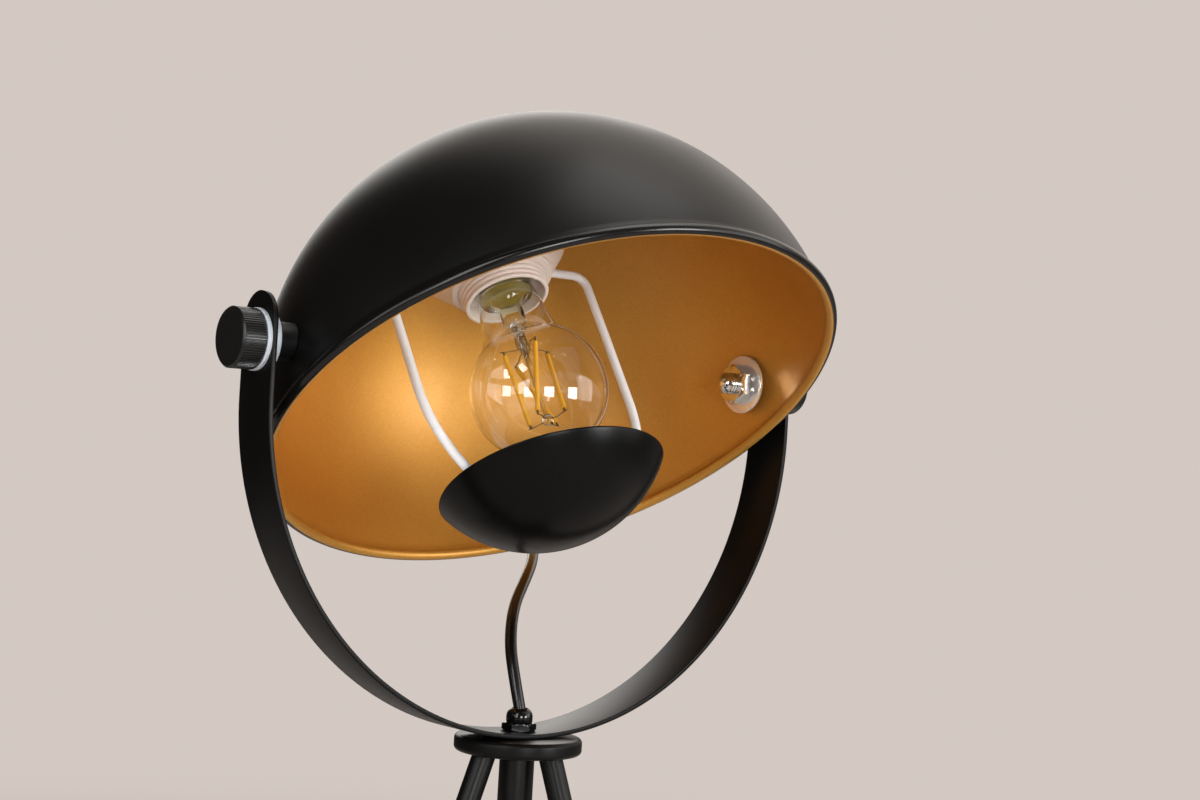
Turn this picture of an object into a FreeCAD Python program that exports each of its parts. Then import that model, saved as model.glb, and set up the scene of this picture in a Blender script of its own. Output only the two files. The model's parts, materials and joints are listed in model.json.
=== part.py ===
import FreeCAD, Part
import math
import os
import Sketcher

# Tabletop searchlight lamp. Millimetres, +Z up, the origin on the table under the stem.
# The tilt axis runs along X at pivotHeight. The shade opens towards -Y and down.

os.makedirs("parts", exist_ok=True)
doc = FreeCAD.newDocument("SearchlightLamp")
Vector = FreeCAD.Vector
Placement = FreeCAD.Placement
Rotation = FreeCAD.Rotation

# ---------------------------------------------------------------- driving dimensions
driving = {
    "pivotHeight": 400,      # table to tilt axis
    "restTilt": 33.94,       # opening of the shade, degrees from straight down
    "fitGap": 0.05,          # radial, between pieces fixed to each other
    "runGap": 0.08,          # radial, between pieces that turn in each other
    # stand
    "discRadius": 27.5,
    "discThick": 7,
    "discRound": 2,
    "stemRadius": 7.5,
    "stemWall": 1.25,
    "stemLength": 70,
    "insertDepth": 12,
    "bushFlange": 3,
    "reliefLength": 23,
    "reliefRoot": 5.5,
    "reliefTip": 3.6,
    "legRadius": 5,
    "legWall": 1,
    "legSplay": 18.6,
    "legRing": 16,
    "legTurn": 54.2,
    "footRadius": 6.5,
    "footGrip": 18,
    "footSole": 6,
    # yoke
    "strapWidth": 25,
    "strapThick": 2,
    "yokeGap": 10.5,         # between the shade and the yoke
    "yokeDrop": 22,          # centre of the half ring below the tilt axis
    "armRise": 6.8,           # centre of the round ends above the tilt axis
    # gland in the yoke
    "nippleRadius": 5,
    "nippleBore": 3.2,
    "glandAcross": 13,
    "glandThick": 3.3,
    "glandRadius": 5.7,
    "glandNose": 5.5,
    "neckRadius": 4.4,
    "neckLength": 3,
    "cordRadius": 2.6,
    "slantGap": 0.8,
    # pivots, distances along X from the middle
    "studRadius": 5,
    "studReach": 20.5,       # tip of the stud inside the shade
    "washerRadius": 12.4,
    "washerThick": 2,
    "knobRadius": 12.1,
    "knobLength": 10.4,
    "knobBore": 8,
    "flutes": 72,
    "fluteRadius": 0.45,
    "bushRadius": 7.7,
    "zincRadius": 13.5,
    "zincThick": 1.5,
    "nutAcross": 16,
    "nutThick": 6.5,
    # shade, heights from the tilt axis along the axis of the shade
    "shadeRadius": 124.5,
    "shadeWall": 1,
    "shadeDrop": 20.5,       # centre of the sphere below the tilt axis
    "rimDrop": 1.8,          # plane of the rim below the centre of the sphere
    "beadRadius": 2.4,
    "beadOut": 0.5,
    # hardware on the apex, a little to the left and to the back of the axis of the shade
    "hangSide": -3.4,
    "hangBack": 2.6,
    "hangDepth": 68,         # apex to the front of the lampholder
    "tubeGrip": 4,           # support tube inside the rear cap of the lampholder
    "tubeRise": 4,           # support tube above the apex
    "tubeBore": 3.4,
    "apexAcross": 14,
    "apexNut": 4,
    "apexGap": 0.8,
    "apexDome": 6,
    # lampholder, heights from its front
    "mouthRadius": 18.4,
    "mouthBore": 17.2,
    "ringRadius": 20.4,
    "ringLength": 20,
    "ribDepth": 0.4,
    "ribRound": 1.6,
    "collarStep": 8.3,
    "collarMouth": 23.3,
    "collarRadius": 32.6,
    "collarSlope": 12.8,
    "collarLength": 21,
    "collarRound": 2,
    "shellRadius": 13.8,
    "shellStep": 8,
    "coreWall": 17.3,
    "coreFloor": 5,
    "contactRadius": 3,
    "contactThick": 0.9,
    "contactGap": 0.2,
    "capRadius": 20,
    "capLength": 22,
    "capWall": 2.5,
    "capRound": 10,
    "capHollow": 9,
    "leadHole": 5,
    "terminalSide": 5,
    "leadRadius": 1.2,
    # bulb
    "bulbRadius": 30,
    "bulbReach": 48.2,       # centre of the globe to the front of the lampholder
    "bulbWaist": 14.8,
    "bulbFlare": 28,         # radius of the hollow curve between globe and neck
    "glassWall": 0.8,
    "glassNeck": 12.5,
    "baseRadius": 13.1,
    "baseStep": 7,
    "baseLength": 21,
    "beadHeight": 5,
    "beadWide": 9.4,
    "buttonRadius": 4.5,
    "filamentRadius": 0.9,
    "filamentTop": 19,       # heights from the centre of the globe
    "filamentFoot": -12.6,
    "filamentRing": 10.5,
    "filamentFootRing": 8.5,
    "stemPinch": 21,
    "pinchLength": 12,
    "pinchRadius": 4.6,
    "stemTube": 5.2,
    "stemFlare": 6,
    "stemMouth": 11.2,
    "stemRod": 1.1,
    "stemBall": 2.6,
    "wireThin": 0.3,
    # wire frame and bowl, heights from the front of the lampholder
    "wireRadius": 2,
    "wireSpread": 56.7,
    "wireShelf": 25.4,
    "wireSide": 7.2,
    "wireBend": 6.5,
    "wireTurn": 44.7,        # where the legs start to curve
    "wireDepth": 66.7,
    "wireBase": 42,
    "bowlRadius": 58,
    "bowlRim": 48.9,
    "bowlWall": 1,
    "bowlTilt": 4.1,
    "bowlSide": 0.8,         # off the wire frame
    # gland where the cord leaves the shade
    "exitTurn": 18,
    "exitFlange": 8,
    "exitNose": 10,
    # switch, plug and coil on the lead
    "switchLength": 60,
    "switchWidth": 24,
    "switchHeight": 18,
    "switchWall": 2,
    "switchRound": 6,
    "switchSide": 22,
    "switchBack": 84,
    "rockerWidth": 9.4,
    "rockerReach": 7.2,
    "rockerPivot": 14.5,
    "rockerPin": 1,
    "plugLength": 35,
    "plugRound": 5,
    "plugWidth": 26,
    "plugHeight": 13.7,
    "pinLength": 19,
    "pinRadius": 2,
    "pinPitch": 18.6,
    "plugRelief": 20,
    "plugSide": -84,
    "plugBack": 110,
    "coilSide": -45,
    "coilBack": 160,
    "coilRadius": 28,
    "coilSection": 15.6,
    "tieThick": 0.8,
    "tieWidth": 12,
    "coilRound": 4,
}

sheet = doc.addObject("Spreadsheet::Sheet", "Sizes")
for row, (name, value) in enumerate(driving.items(), start=1):
    sheet.set("A%d" % row, name)
    sheet.set("B%d" % row, str(value))
    sheet.setAlias("B%d" % row, name)
doc.recompute()


class Dim:
    # A number together with the spreadsheet expression that it comes from.
    def __init__(self, value, text):
        self.value = float(value)
        self.text = text

    def __add__(self, other):
        other = dim(other)
        return Dim(self.value + other.value, "(%s + %s)" % (self.text, other.text))

    def __sub__(self, other):
        other = dim(other)
        return Dim(self.value - other.value, "(%s - %s)" % (self.text, other.text))

    def __mul__(self, other):
        other = dim(other)
        return Dim(self.value * other.value, "(%s * %s)" % (self.text, other.text))

    def __truediv__(self, other):
        other = dim(other)
        return Dim(self.value / other.value, "(%s / %s)" % (self.text, other.text))

    def __radd__(self, other):
        return dim(other) + self

    def __rsub__(self, other):
        return dim(other) - self

    def __neg__(self):
        return Dim(-self.value, "(-1 * %s)" % self.text)


def dim(number):
    return number if isinstance(number, Dim) else Dim(number, repr(float(number)))


def root(square):
    return Dim(math.sqrt(square.value), "sqrt(%s)" % square.text)


def cosine(angle):
    return Dim(math.cos(math.radians(angle.value)), "cos(%s)" % angle.text)


class Sizes:
    pass


size = Sizes()
for name, value in driving.items():
    setattr(size, name, Dim(value, "Sizes." + name))


# ---------------------------------------------------------------- helpers
def place(x=0, y=0, z=0, axis=Vector(0, 0, 1), turn=0):
    return Placement(Vector(x, y, z), Rotation(axis, turn))


def planeOf(body, role):
    return [plane for plane in body.Origin.OriginFeatures if plane.Role == role][0]


def newBody(label, at):
    body = doc.addObject("PartDesign::Body", label)
    body.Label = label
    body.Placement = at
    return body


def newSketch(body, role, offset=None):
    sketch = body.newObject("Sketcher::SketchObject", "Sketch")
    sketch.AttachmentSupport = [(planeOf(body, role), "")]
    sketch.MapMode = "FlatFace"
    if offset:
        sketch.AttachmentOffset = offset
    return sketch


def pin(sketch, kind, edge, point, value):
    # Holds one coordinate of a point at a size from the sheet, or on the axis when it is zero.
    if abs(value.value) < 1e-9:
        line = -2 if kind == "DistanceX" else -1
        sketch.addConstraint(Sketcher.Constraint("PointOnObject", edge, point, line))
        return
    index = sketch.addConstraint(Sketcher.Constraint(kind, -1, 1, edge, point, value.value))
    sketch.setExpression("Constraints[%d]" % index, value.text)


def drawLoop(sketch, corners):
    # A closed outline. A corner is (x, y), or (x, y, radius) where an arc leads on to the next corner:
    # the centre is to the left of the way ahead for a positive radius and to the right for a negative one.
    corners = [tuple(dim(number) for number in corner) for corner in corners]
    first = sketch.GeometryCount
    starts = []
    ends = []
    for index, corner in enumerate(corners):
        following = corners[(index + 1) % len(corners)]
        here = Vector(corner[0].value, corner[1].value, 0)
        there = Vector(following[0].value, following[1].value, 0)
        if len(corner) == 2:
            sketch.addGeometry(Part.LineSegment(here, there))
            starts.append(1)
            ends.append(2)
            continue
        radius = corner[2].value
        chord = there - here
        left = Vector(-chord.y, chord.x, 0).normalize()
        height = math.sqrt(max(radius ** 2 - (chord.Length / 2) ** 2, 0))
        side = 1 if radius > 0 else -1
        centre = (here + there) * 0.5 + left * (side * height)
        fromHere = here - centre
        fromThere = there - centre
        angleHere = math.atan2(fromHere.y, fromHere.x)
        angleThere = math.atan2(fromThere.y, fromThere.x)
        circle = Part.Circle(centre, Vector(0, 0, 1), abs(radius))
        low, high = (angleHere, angleThere) if side > 0 else (angleThere, angleHere)
        if high < low:
            high += 2 * math.pi
        edge = sketch.addGeometry(Part.ArcOfCircle(circle, low, high))
        starts.append(1 if side > 0 else 2)
        ends.append(2 if side > 0 else 1)
        index = sketch.addConstraint(Sketcher.Constraint("Radius", edge, abs(radius)))
        sketch.setExpression("Constraints[%d]" % index, "abs(%s)" % corner[2].text)
    for index, corner in enumerate(corners):
        following = (index + 1) % len(corners)
        edge = first + index
        sketch.addConstraint(
            Sketcher.Constraint("Coincident", edge, ends[index], first + following, starts[following]))
        pin(sketch, "DistanceX", edge, starts[index], corner[0])
        pin(sketch, "DistanceY", edge, starts[index], corner[1])


def drawCircle(sketch, x, y, radius):
    x, y, radius = dim(x), dim(y), dim(radius)
    edge = sketch.addGeometry(Part.Circle(Vector(x.value, y.value, 0), Vector(0, 0, 1), radius.value))
    pin(sketch, "DistanceX", edge, 3, x)
    pin(sketch, "DistanceY", edge, 3, y)
    index = sketch.addConstraint(Sketcher.Constraint("Radius", edge, radius.value))
    sketch.setExpression("Constraints[%d]" % index, radius.text)


def revolve(body, sketch):
    feature = body.newObject("PartDesign::Revolution", "Revolution")
    feature.Profile = sketch
    feature.ReferenceAxis = (sketch, ["V_Axis"])
    feature.Angle = 360
    doc.recompute()
    return feature


def pad(body, sketch, length, midplane=False, reverse=False):
    feature = body.newObject("PartDesign::Pad", "Pad")
    feature.Profile = sketch
    feature.Midplane = midplane
    feature.Reversed = reverse
    feature.setExpression("Length", dim(length).text)
    doc.recompute()
    return feature


def cutThrough(body, sketch):
    # A pocket right through, both ways from the sketch. It has to take material away.
    before = body.Shape.Volume
    feature = body.newObject("PartDesign::Pocket", "Pocket")
    feature.Profile = sketch
    feature.Type = "ThroughAll"
    feature.Midplane = True
    doc.recompute()
    if body.Shape.Volume >= before:
        raise RuntimeError(body.Label + ": a pocket cut nothing")
    return feature


def turned(label, corners, at):
    # A turned piece: the outline (radius, height) revolved about the local Z axis.
    body = newBody(label, at)
    sketch = newSketch(body, "XZ_Plane")
    drawLoop(sketch, corners)
    revolve(body, sketch)
    return body


def ring(label, inner, outer, thick, at):
    corners = [(inner, 0), (outer, 0), (outer, thick), (inner, thick)]
    return turned(label, corners, at)


def hexagon(across):
    corner = across / root(dim(3))
    half = corner / 2
    side = across / 2
    return [(corner, 0), (half, side), (-half, side), (-corner, 0), (-half, -side), (half, -side)]


def hexNut(label, across, bore, thick, at):
    body = newBody(label, at)
    sketch = newSketch(body, "XY_Plane")
    drawLoop(sketch, hexagon(across))
    drawCircle(sketch, 0, 0, bore)
    pad(body, sketch, thick)
    return body


def cylinder(name, radius, length, at):
    feature = doc.addObject("Part::Cylinder", name)
    feature.setExpression("Radius", dim(radius).text)
    feature.setExpression("Height", dim(length).text)
    feature.Placement = at
    return feature


def block(name, length, width, height, at):
    feature = doc.addObject("Part::Box", name)
    feature.setExpression("Length", dim(length).text)
    feature.setExpression("Width", dim(width).text)
    feature.setExpression("Height", dim(height).text)
    feature.Placement = at
    return feature


def sphere(name, radius, at):
    feature = doc.addObject("Part::Sphere", name)
    feature.setExpression("Radius", dim(radius).text)
    feature.Placement = at
    return feature


def cut(label, base, tools):
    for tool in tools:
        feature = doc.addObject("Part::Cut", "Cut")
        feature.Base = base
        feature.Tool = tool
        base = feature
    base.Label = label
    return base


def common(label, one, other):
    feature = doc.addObject("Part::Common", label)
    feature.Base = one
    feature.Tool = other
    feature.Label = label
    return feature


def together(label, pieces):
    # Alike pieces that share one node, as separate solids.
    feature = doc.addObject("Part::Compound", label)
    feature.Links = pieces
    feature.Label = label
    return feature


def rod(name, radius, start, end, base):
    # A straight round piece between two points, given in the frame of base.
    way = end - start
    feature = doc.addObject("Part::Cylinder", name)
    feature.setExpression("Radius", radius.text)
    feature.Height = way.Length
    feature.Placement = base * Placement(start, Rotation(Vector(0, 0, 1), way))
    return feature


def sweep(label, edges, radius, at):
    # A round bar along tangent lines and arcs. Its volume has to be its section times its length.
    path = Part.Wire(edges)
    start = edges[0].valueAt(edges[0].FirstParameter)
    way = edges[0].tangentAt(edges[0].FirstParameter)
    section = Part.Wire([Part.makeCircle(radius.value, start, way)])
    feature = doc.addObject("Part::Feature", label)
    feature.Shape = path.makePipeShell([section], True, False)
    feature.Label = label
    feature.Placement = at
    expected = path.Length * math.pi * radius.value ** 2
    print("%s: length %.1f, volume ratio %.4f" % (label, path.Length, feature.Shape.Volume / expected))
    return feature


def cordEdges(label, points):
    # Straight runs joined by tangent arcs. An arc takes 0.45 of the shorter of its two runs.
    edges = []
    radii = []
    start = points[0]
    for before, corner, after in zip(points, points[1:], points[2:]):
        back = before - corner
        ahead = after - corner
        turn = math.pi - back.getAngle(ahead)
        setback = 0.45 * min(back.Length, ahead.Length)
        bend = setback / math.tan(turn / 2)
        back.normalize()
        ahead.normalize()
        middle = corner + (back + ahead).normalize() * (bend / math.cos(turn / 2) - bend)
        edges.append(Part.LineSegment(start, corner + back * setback).toShape())
        edges.append(Part.Arc(corner + back * setback, middle, corner + ahead * setback).toShape())
        start = corner + ahead * setback
        radii.append(round(bend, 1))
    edges.append(Part.LineSegment(start, points[-1]).toShape())
    print(label, "bend radii", radii)
    return edges


def cordTube(label, points, radius, at=Placement()):
    points = [Vector(*point) for point in points]
    return sweep(label, cordEdges(label, points), radius, at)


# ---------------------------------------------------------------- frames of the lamp
yokeInner = size.shadeRadius + size.yokeGap
yokeOuter = yokeInner + size.strapThick
strapBottom = size.pivotHeight - size.yokeDrop - yokeOuter
discUnder = strapBottom - size.discThick
headPlace = place(0, 0, size.pivotHeight.value, Vector(1, 0, 0), -size.restTilt.value)
sides = {"left": -1, "right": 1}


def along(sign, distance, base=None):
    # A frame whose Z runs outwards along the tilt axis, at a distance from the middle.
    base = base or place(0, 0, size.pivotHeight.value)
    return base * place(sign * dim(distance).value, 0, 0, Vector(0, 1, 0), 90 * sign)


def onAxis(height):
    # A frame on the axis of the shade, its Z towards the apex, at a height from the tilt axis.
    return headPlace * place(0, 0, dim(height).value)


def onHanger(height):
    # The same on the axis of the lampholder and the bulb.
    return onAxis(height) * place(size.hangSide.value, size.hangBack.value, 0)


# The lampholder hangs from the apex, and the bulb and the wire frame from the lampholder.
shadeApex = size.shadeRadius - size.shadeDrop
holderFront = shadeApex - size.hangDepth
bulbMiddle = holderFront - size.bulbReach


# ---------------------------------------------------------------- stand
def makeTopDisc():
    bore = size.nippleRadius + size.fitGap
    inside = size.discRadius - size.discRound
    top = size.discThick - size.discRound
    corners = [
        (bore, 0),
        (inside, 0, size.discRound),
        (size.discRadius, size.discRound),
        (size.discRadius, top, size.discRound),
        (inside, size.discThick),
        (bore, size.discThick),
    ]
    return turned("top_disc", corners, place(0, 0, discUnder.value))


def makeStem():
    inner = size.stemRadius - size.stemWall
    foot = discUnder - size.stemLength
    cordBore = size.cordRadius + size.fitGap
    tube = ring("stem_tube", inner, size.stemRadius, size.stemLength, place(0, 0, foot.value))
    insert = ring("stem_insert", size.nippleRadius + size.fitGap, inner - size.fitGap, size.insertDepth,
                  place(0, 0, (discUnder - size.insertDepth).value))
    top = size.bushFlange + size.insertDepth
    bushCorners = [
        (cordBore, 0),
        (size.stemRadius, 0),
        (size.stemRadius, size.bushFlange),
        (inner - size.fitGap, size.bushFlange),
        (inner - size.fitGap, top),
        (cordBore, top),
    ]
    bushFoot = foot - size.bushFlange
    bush = turned("stem_bush", bushCorners, place(0, 0, bushFoot.value))
    reliefFoot = bushFoot - size.reliefLength
    reliefCorners = [
        (cordBore, 0),
        (size.reliefTip, 0),
        (size.reliefRoot, size.reliefLength),
        (cordBore, size.reliefLength),
    ]
    relief = turned("stem_relief", reliefCorners, place(0, 0, reliefFoot.value))
    mouth = strapBottom + size.strapThick + glandSeat + size.glandThick + size.glandNose
    # Short of both mouths, because the cords outside arrive at a slant.
    cord = cylinder("stem_cord", size.cordRadius, mouth - reliefFoot - size.slantGap * 2,
                    place(0, 0, (reliefFoot + size.slantGap).value))
    return [tube, insert, bush, relief, cord]


def makeLegs():
    # Each leg starts under the disc on the leg ring and leans outwards. Its own frame has its origin where
    # the axis of the leg meets the table, with Z up along the leg.
    reach = size.legRing.value + discUnder.value * math.tan(math.radians(size.legSplay.value))
    beyond = 6.0
    length = discUnder / cosine(size.legSplay) + beyond - size.footSole
    cover = reach + size.footRadius.value * 4
    pieces = []
    for number in range(3):
        azimuth = size.legTurn.value + 120 * number
        foot = (place(0, 0, 0, Vector(0, 0, 1), azimuth) * place(reach, 0, 0)
                * place(0, 0, 0, Vector(0, 1, 0), -size.legSplay.value))
        start = foot * place(0, 0, size.footSole.value)
        outer = cylinder("legOuter", size.legRadius, length, start)
        inner = cylinder("legInner", size.legRadius - size.legWall, length, start)
        slab = block("legSlab", cover * 2, cover * 2, discUnder, place(-cover, -cover, 0))
        tube = cut("legPipe", outer, [inner])
        pieces.append(common("leg_tube_%d" % (number + 1), tube, slab))
        below = 8.0
        rubber = cylinder("footOuter", size.footRadius, size.footGrip + below, foot * place(0, 0, -below))
        socket = cylinder("footSocket", size.legRadius + size.fitGap, size.footGrip, start)
        floorSlab = block("footSlab", cover * 2, cover * 2, discUnder, place(-cover, -cover, 0))
        cup = cut("footCup", rubber, [socket])
        pieces.append(common("foot_cap_%d" % (number + 1), cup, floorSlab))
    return pieces


# ---------------------------------------------------------------- yoke and gland
# The flat gland stands on the curved strap, on its two edges that lie across the strap.
seatHalf = size.glandAcross / 2
glandSeat = yokeInner - root(yokeInner * yokeInner - seatHalf * seatHalf * 1.36)


def makeYoke():
    # Flat bar bent to a half ring with straight arms. The ends of the arms are round.
    body = newBody("yoke_strap", place(0, 0, strapBottom.value))
    outer = yokeOuter
    axis = size.yokeDrop + outer
    half = size.strapWidth / 2
    end = axis + size.armRise
    top = end + half
    sketch = newSketch(body, "XZ_Plane")
    drawLoop(sketch, [
        (-outer, top),
        (-outer, outer, outer),
        (0, 0, outer),
        (outer, outer),
        (outer, top),
        (yokeInner, top),
        (yokeInner, outer, -yokeInner),
        (0, size.strapThick, -yokeInner),
        (-yokeInner, outer),
        (-yokeInner, top),
    ])
    pad(body, sketch, size.strapWidth, midplane=True)
    corner = newSketch(body, "YZ_Plane")
    over = half + 1
    drawLoop(corner, [
        (half, end, half),
        (0, top, half),
        (-half, end),
        (-over, end),
        (-over, top + 1),
        (over, top + 1),
        (over, end),
    ])
    cutThrough(body, corner)
    pivots = newSketch(body, "YZ_Plane")
    drawCircle(pivots, 0, axis, size.studRadius + size.runGap)
    cutThrough(body, pivots)
    middle = newSketch(body, "XY_Plane")
    drawCircle(middle, 0, 0, size.nippleRadius + size.fitGap)
    cutThrough(body, middle)
    return body


def makeGland():
    seat = strapBottom + size.strapThick + glandSeat
    body = newBody("gland_body", place(0, 0, seat.value))
    flat = newSketch(body, "XY_Plane")
    drawLoop(flat, hexagon(size.glandAcross))
    pad(body, flat, size.glandThick)
    neck = newSketch(body, "XY_Plane")
    drawCircle(neck, 0, 0, size.neckRadius)
    pad(body, neck, size.glandThick + size.neckLength)
    nipple = newSketch(body, "XY_Plane")
    drawCircle(nipple, 0, 0, size.nippleRadius)
    pad(body, nipple, seat - (discUnder - size.insertDepth), reverse=True)
    bore = newSketch(body, "XY_Plane")
    drawCircle(bore, 0, 0, size.nippleBore)
    cutThrough(body, bore)
    mouth = size.cordRadius + size.fitGap
    thread = size.neckRadius + size.fitGap
    lip = size.neckLength + 0.2
    nutCorners = [
        (thread, 0),
        (size.glandRadius, 0),
        (size.glandRadius, size.glandNose - 2.9, 4),
        (3.4, size.glandNose),
        (mouth, size.glandNose),
        (mouth, lip),
        (thread, lip),
    ]
    nut = turned("gland_nut", nutCorners, place(0, 0, (seat + size.glandThick).value))
    return [body, nut]


# ---------------------------------------------------------------- pivots
knobFoot = yokeOuter + size.washerThick
studTip = size.shadeRadius - size.studReach
bushTop = yokeInner - size.washerThick
# The flat zinc washer rests inside the sphere on the edge nearest to the apex.
shadeInner = size.shadeRadius - size.shadeWall
zincEdge = size.shadeDrop + size.zincRadius
zincTop = root(shadeInner * shadeInner - zincEdge * zincEdge) - size.fitGap


def makeKnob(side, sign):
    body = newBody("knob_" + side, along(sign, knobFoot))
    bore = size.studRadius + size.runGap
    chamfer = 0.9
    sketch = newSketch(body, "XZ_Plane")
    drawLoop(sketch, [
        (0, size.knobBore),
        (bore, size.knobBore),
        (bore, 0),
        (size.knobRadius - 0.5, 0),
        (size.knobRadius, 0.5),
        (size.knobRadius, size.knobLength - chamfer),
        (size.knobRadius - chamfer, size.knobLength),
        (0, size.knobLength),
    ])
    revolve(body, sketch)
    flute = newSketch(body, "XY_Plane")
    drawCircle(flute, size.knobRadius + size.fluteRadius * 0.4, 0, size.fluteRadius)
    pocket = cutThrough(body, flute)
    pattern = body.newObject("PartDesign::PolarPattern", "Knurl")
    pattern.Originals = [pocket]
    pattern.Axis = (flute, ["N_Axis"])
    pattern.Angle = 360
    pattern.setExpression("Occurrences", size.flutes.text)
    body.Tip = pattern
    doc.recompute()
    return body


def makePivots():
    bore = size.studRadius + size.runGap
    fixedBore = size.studRadius + size.fitGap
    studLength = knobFoot + size.knobBore - 0.5 - studTip
    outerWashers = []
    innerWashers = []
    bushes = []
    studs = []
    zincWashers = []
    nuts = []
    for side, sign in sides.items():
        outerWashers.append(ring("outerWasher", bore, size.washerRadius, size.washerThick,
                                 along(sign, yokeOuter)))
        innerWashers.append(ring("innerWasher", bore, size.washerRadius, size.washerThick,
                                 along(sign, bushTop)))
        bushFoot = size.shadeRadius - 8
        outer = cylinder("bushOuter", size.bushRadius, bushTop - bushFoot, along(sign, bushFoot, headPlace))
        inner = cylinder("bushInner", fixedBore, bushTop - bushFoot, along(sign, bushFoot, headPlace))
        ball = sphere("bushSeat", size.shadeRadius + size.fitGap, onAxis(-size.shadeDrop))
        bushes.append(cut("spacerBush", outer, [inner, ball]))
        tipCorners = [
            (0, 0),
            (size.studRadius - 1.4, 0, 1.5),
            (size.studRadius, 1.4),
            (size.studRadius, studLength),
            (0, studLength),
        ]
        studs.append(turned("pivotStud", tipCorners, along(sign, studTip, headPlace)))
        zincWashers.append(ring("zincWasher", fixedBore, size.zincRadius, size.zincThick,
                                along(sign, zincTop - size.zincThick, headPlace)))
        nuts.append(hexNut("hexNut", size.nutAcross, fixedBore, size.nutThick,
                           along(sign, zincTop - size.zincThick - size.nutThick, headPlace)))
    return [
        together("outer_washers", outerWashers),
        together("inner_washers", innerWashers),
        together("spacer_bushes", bushes),
        together("pivot_studs", studs),
        together("zinc_washers", zincWashers),
        together("hex_nuts", nuts),
    ]


# ---------------------------------------------------------------- shade
exitWay = place(0, 0, 0, Vector(1, 0, 0), -size.exitTurn.value)
ballCentre = onAxis(-size.shadeDrop)


def makeShade():
    # A spun dome, a little more than half a sphere, with a rolled bead. Its frame is the sphere's centre.
    body = newBody("shade_shell", ballCentre)
    inner = shadeInner
    drop = size.rimDrop
    profile = newSketch(body, "XZ_Plane")
    drawLoop(profile, [
        (0, inner),
        (0, size.shadeRadius, -size.shadeRadius),
        (root(size.shadeRadius * size.shadeRadius - drop * drop), -drop),
        (root(inner * inner - drop * drop), -drop, inner),
    ])
    revolve(body, profile)
    bead = newSketch(body, "XZ_Plane")
    drawCircle(bead, size.shadeRadius + size.beadOut, -drop, size.beadRadius)
    revolve(body, bead)
    bore = size.studRadius + size.fitGap
    apex = newSketch(body, "XY_Plane")
    drawCircle(apex, size.hangSide, size.hangBack, bore)
    cutThrough(body, apex)
    pivots = newSketch(body, "YZ_Plane")
    drawCircle(pivots, 0, size.shadeDrop, bore)
    cutThrough(body, pivots)
    exitHole = newSketch(body, "XY_Plane", exitWay)
    drawCircle(exitHole, 0, 0, bore)
    cutThrough(body, exitHole)
    return body


coreFront = holderFront + size.ringLength
collarFront = holderFront + size.collarStep
coreFlange = collarFront + size.collarLength - coreFront
holderTop = coreFront + coreFlange + size.capLength
baseFront = holderFront + size.baseStep
# The nest of the lampholder's core is as deep as the base of the bulb needs.
buttonTop = baseFront + size.baseLength + size.beadHeight + size.contactThick
nestDepth = buttonTop + size.contactGap + size.contactThick - coreFront
coreLength = nestDepth + size.coreFloor


def makeApex():
    bore = size.studRadius + size.fitGap
    tubeFoot = holderTop - size.tubeGrip
    tubeLength = shadeApex + size.tubeRise - tubeFoot
    tube = ring("support_tube", size.tubeBore, size.studRadius, tubeLength, onHanger(tubeFoot))
    nutTop = shadeApex - size.shadeWall - size.apexGap
    lockNut = hexNut("apex_lock_nut", size.apexAcross, bore, size.apexNut, onHanger(nutTop - size.apexNut))
    capNut = newBody("apex_cap_nut", onHanger(shadeApex))
    base = newSketch(capNut, "XY_Plane")
    drawLoop(base, hexagon(size.apexAcross))
    pad(capNut, base, size.apexNut)
    dome = newSketch(capNut, "XZ_Plane")
    domeTop = size.apexNut + size.apexDome
    drawLoop(dome, [
        (0, size.apexNut),
        (size.apexDome, size.apexNut, size.apexDome),
        (0, domeTop),
    ])
    revolve(capNut, dome)
    well = newSketch(capNut, "XZ_Plane")
    depth = size.tubeRise + 0.2
    drawLoop(well, [(0, 0), (bore, 0), (bore, depth), (0, depth)])
    groove = capNut.newObject("PartDesign::Groove", "Thread")
    before = capNut.Shape.Volume
    groove.Profile = well
    groove.ReferenceAxis = (well, ["V_Axis"])
    groove.Angle = 360
    doc.recompute()
    if capNut.Shape.Volume >= before:
        raise RuntimeError("apex_cap_nut: the thread hole cut nothing")
    return [tube, lockNut, capNut]


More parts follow.
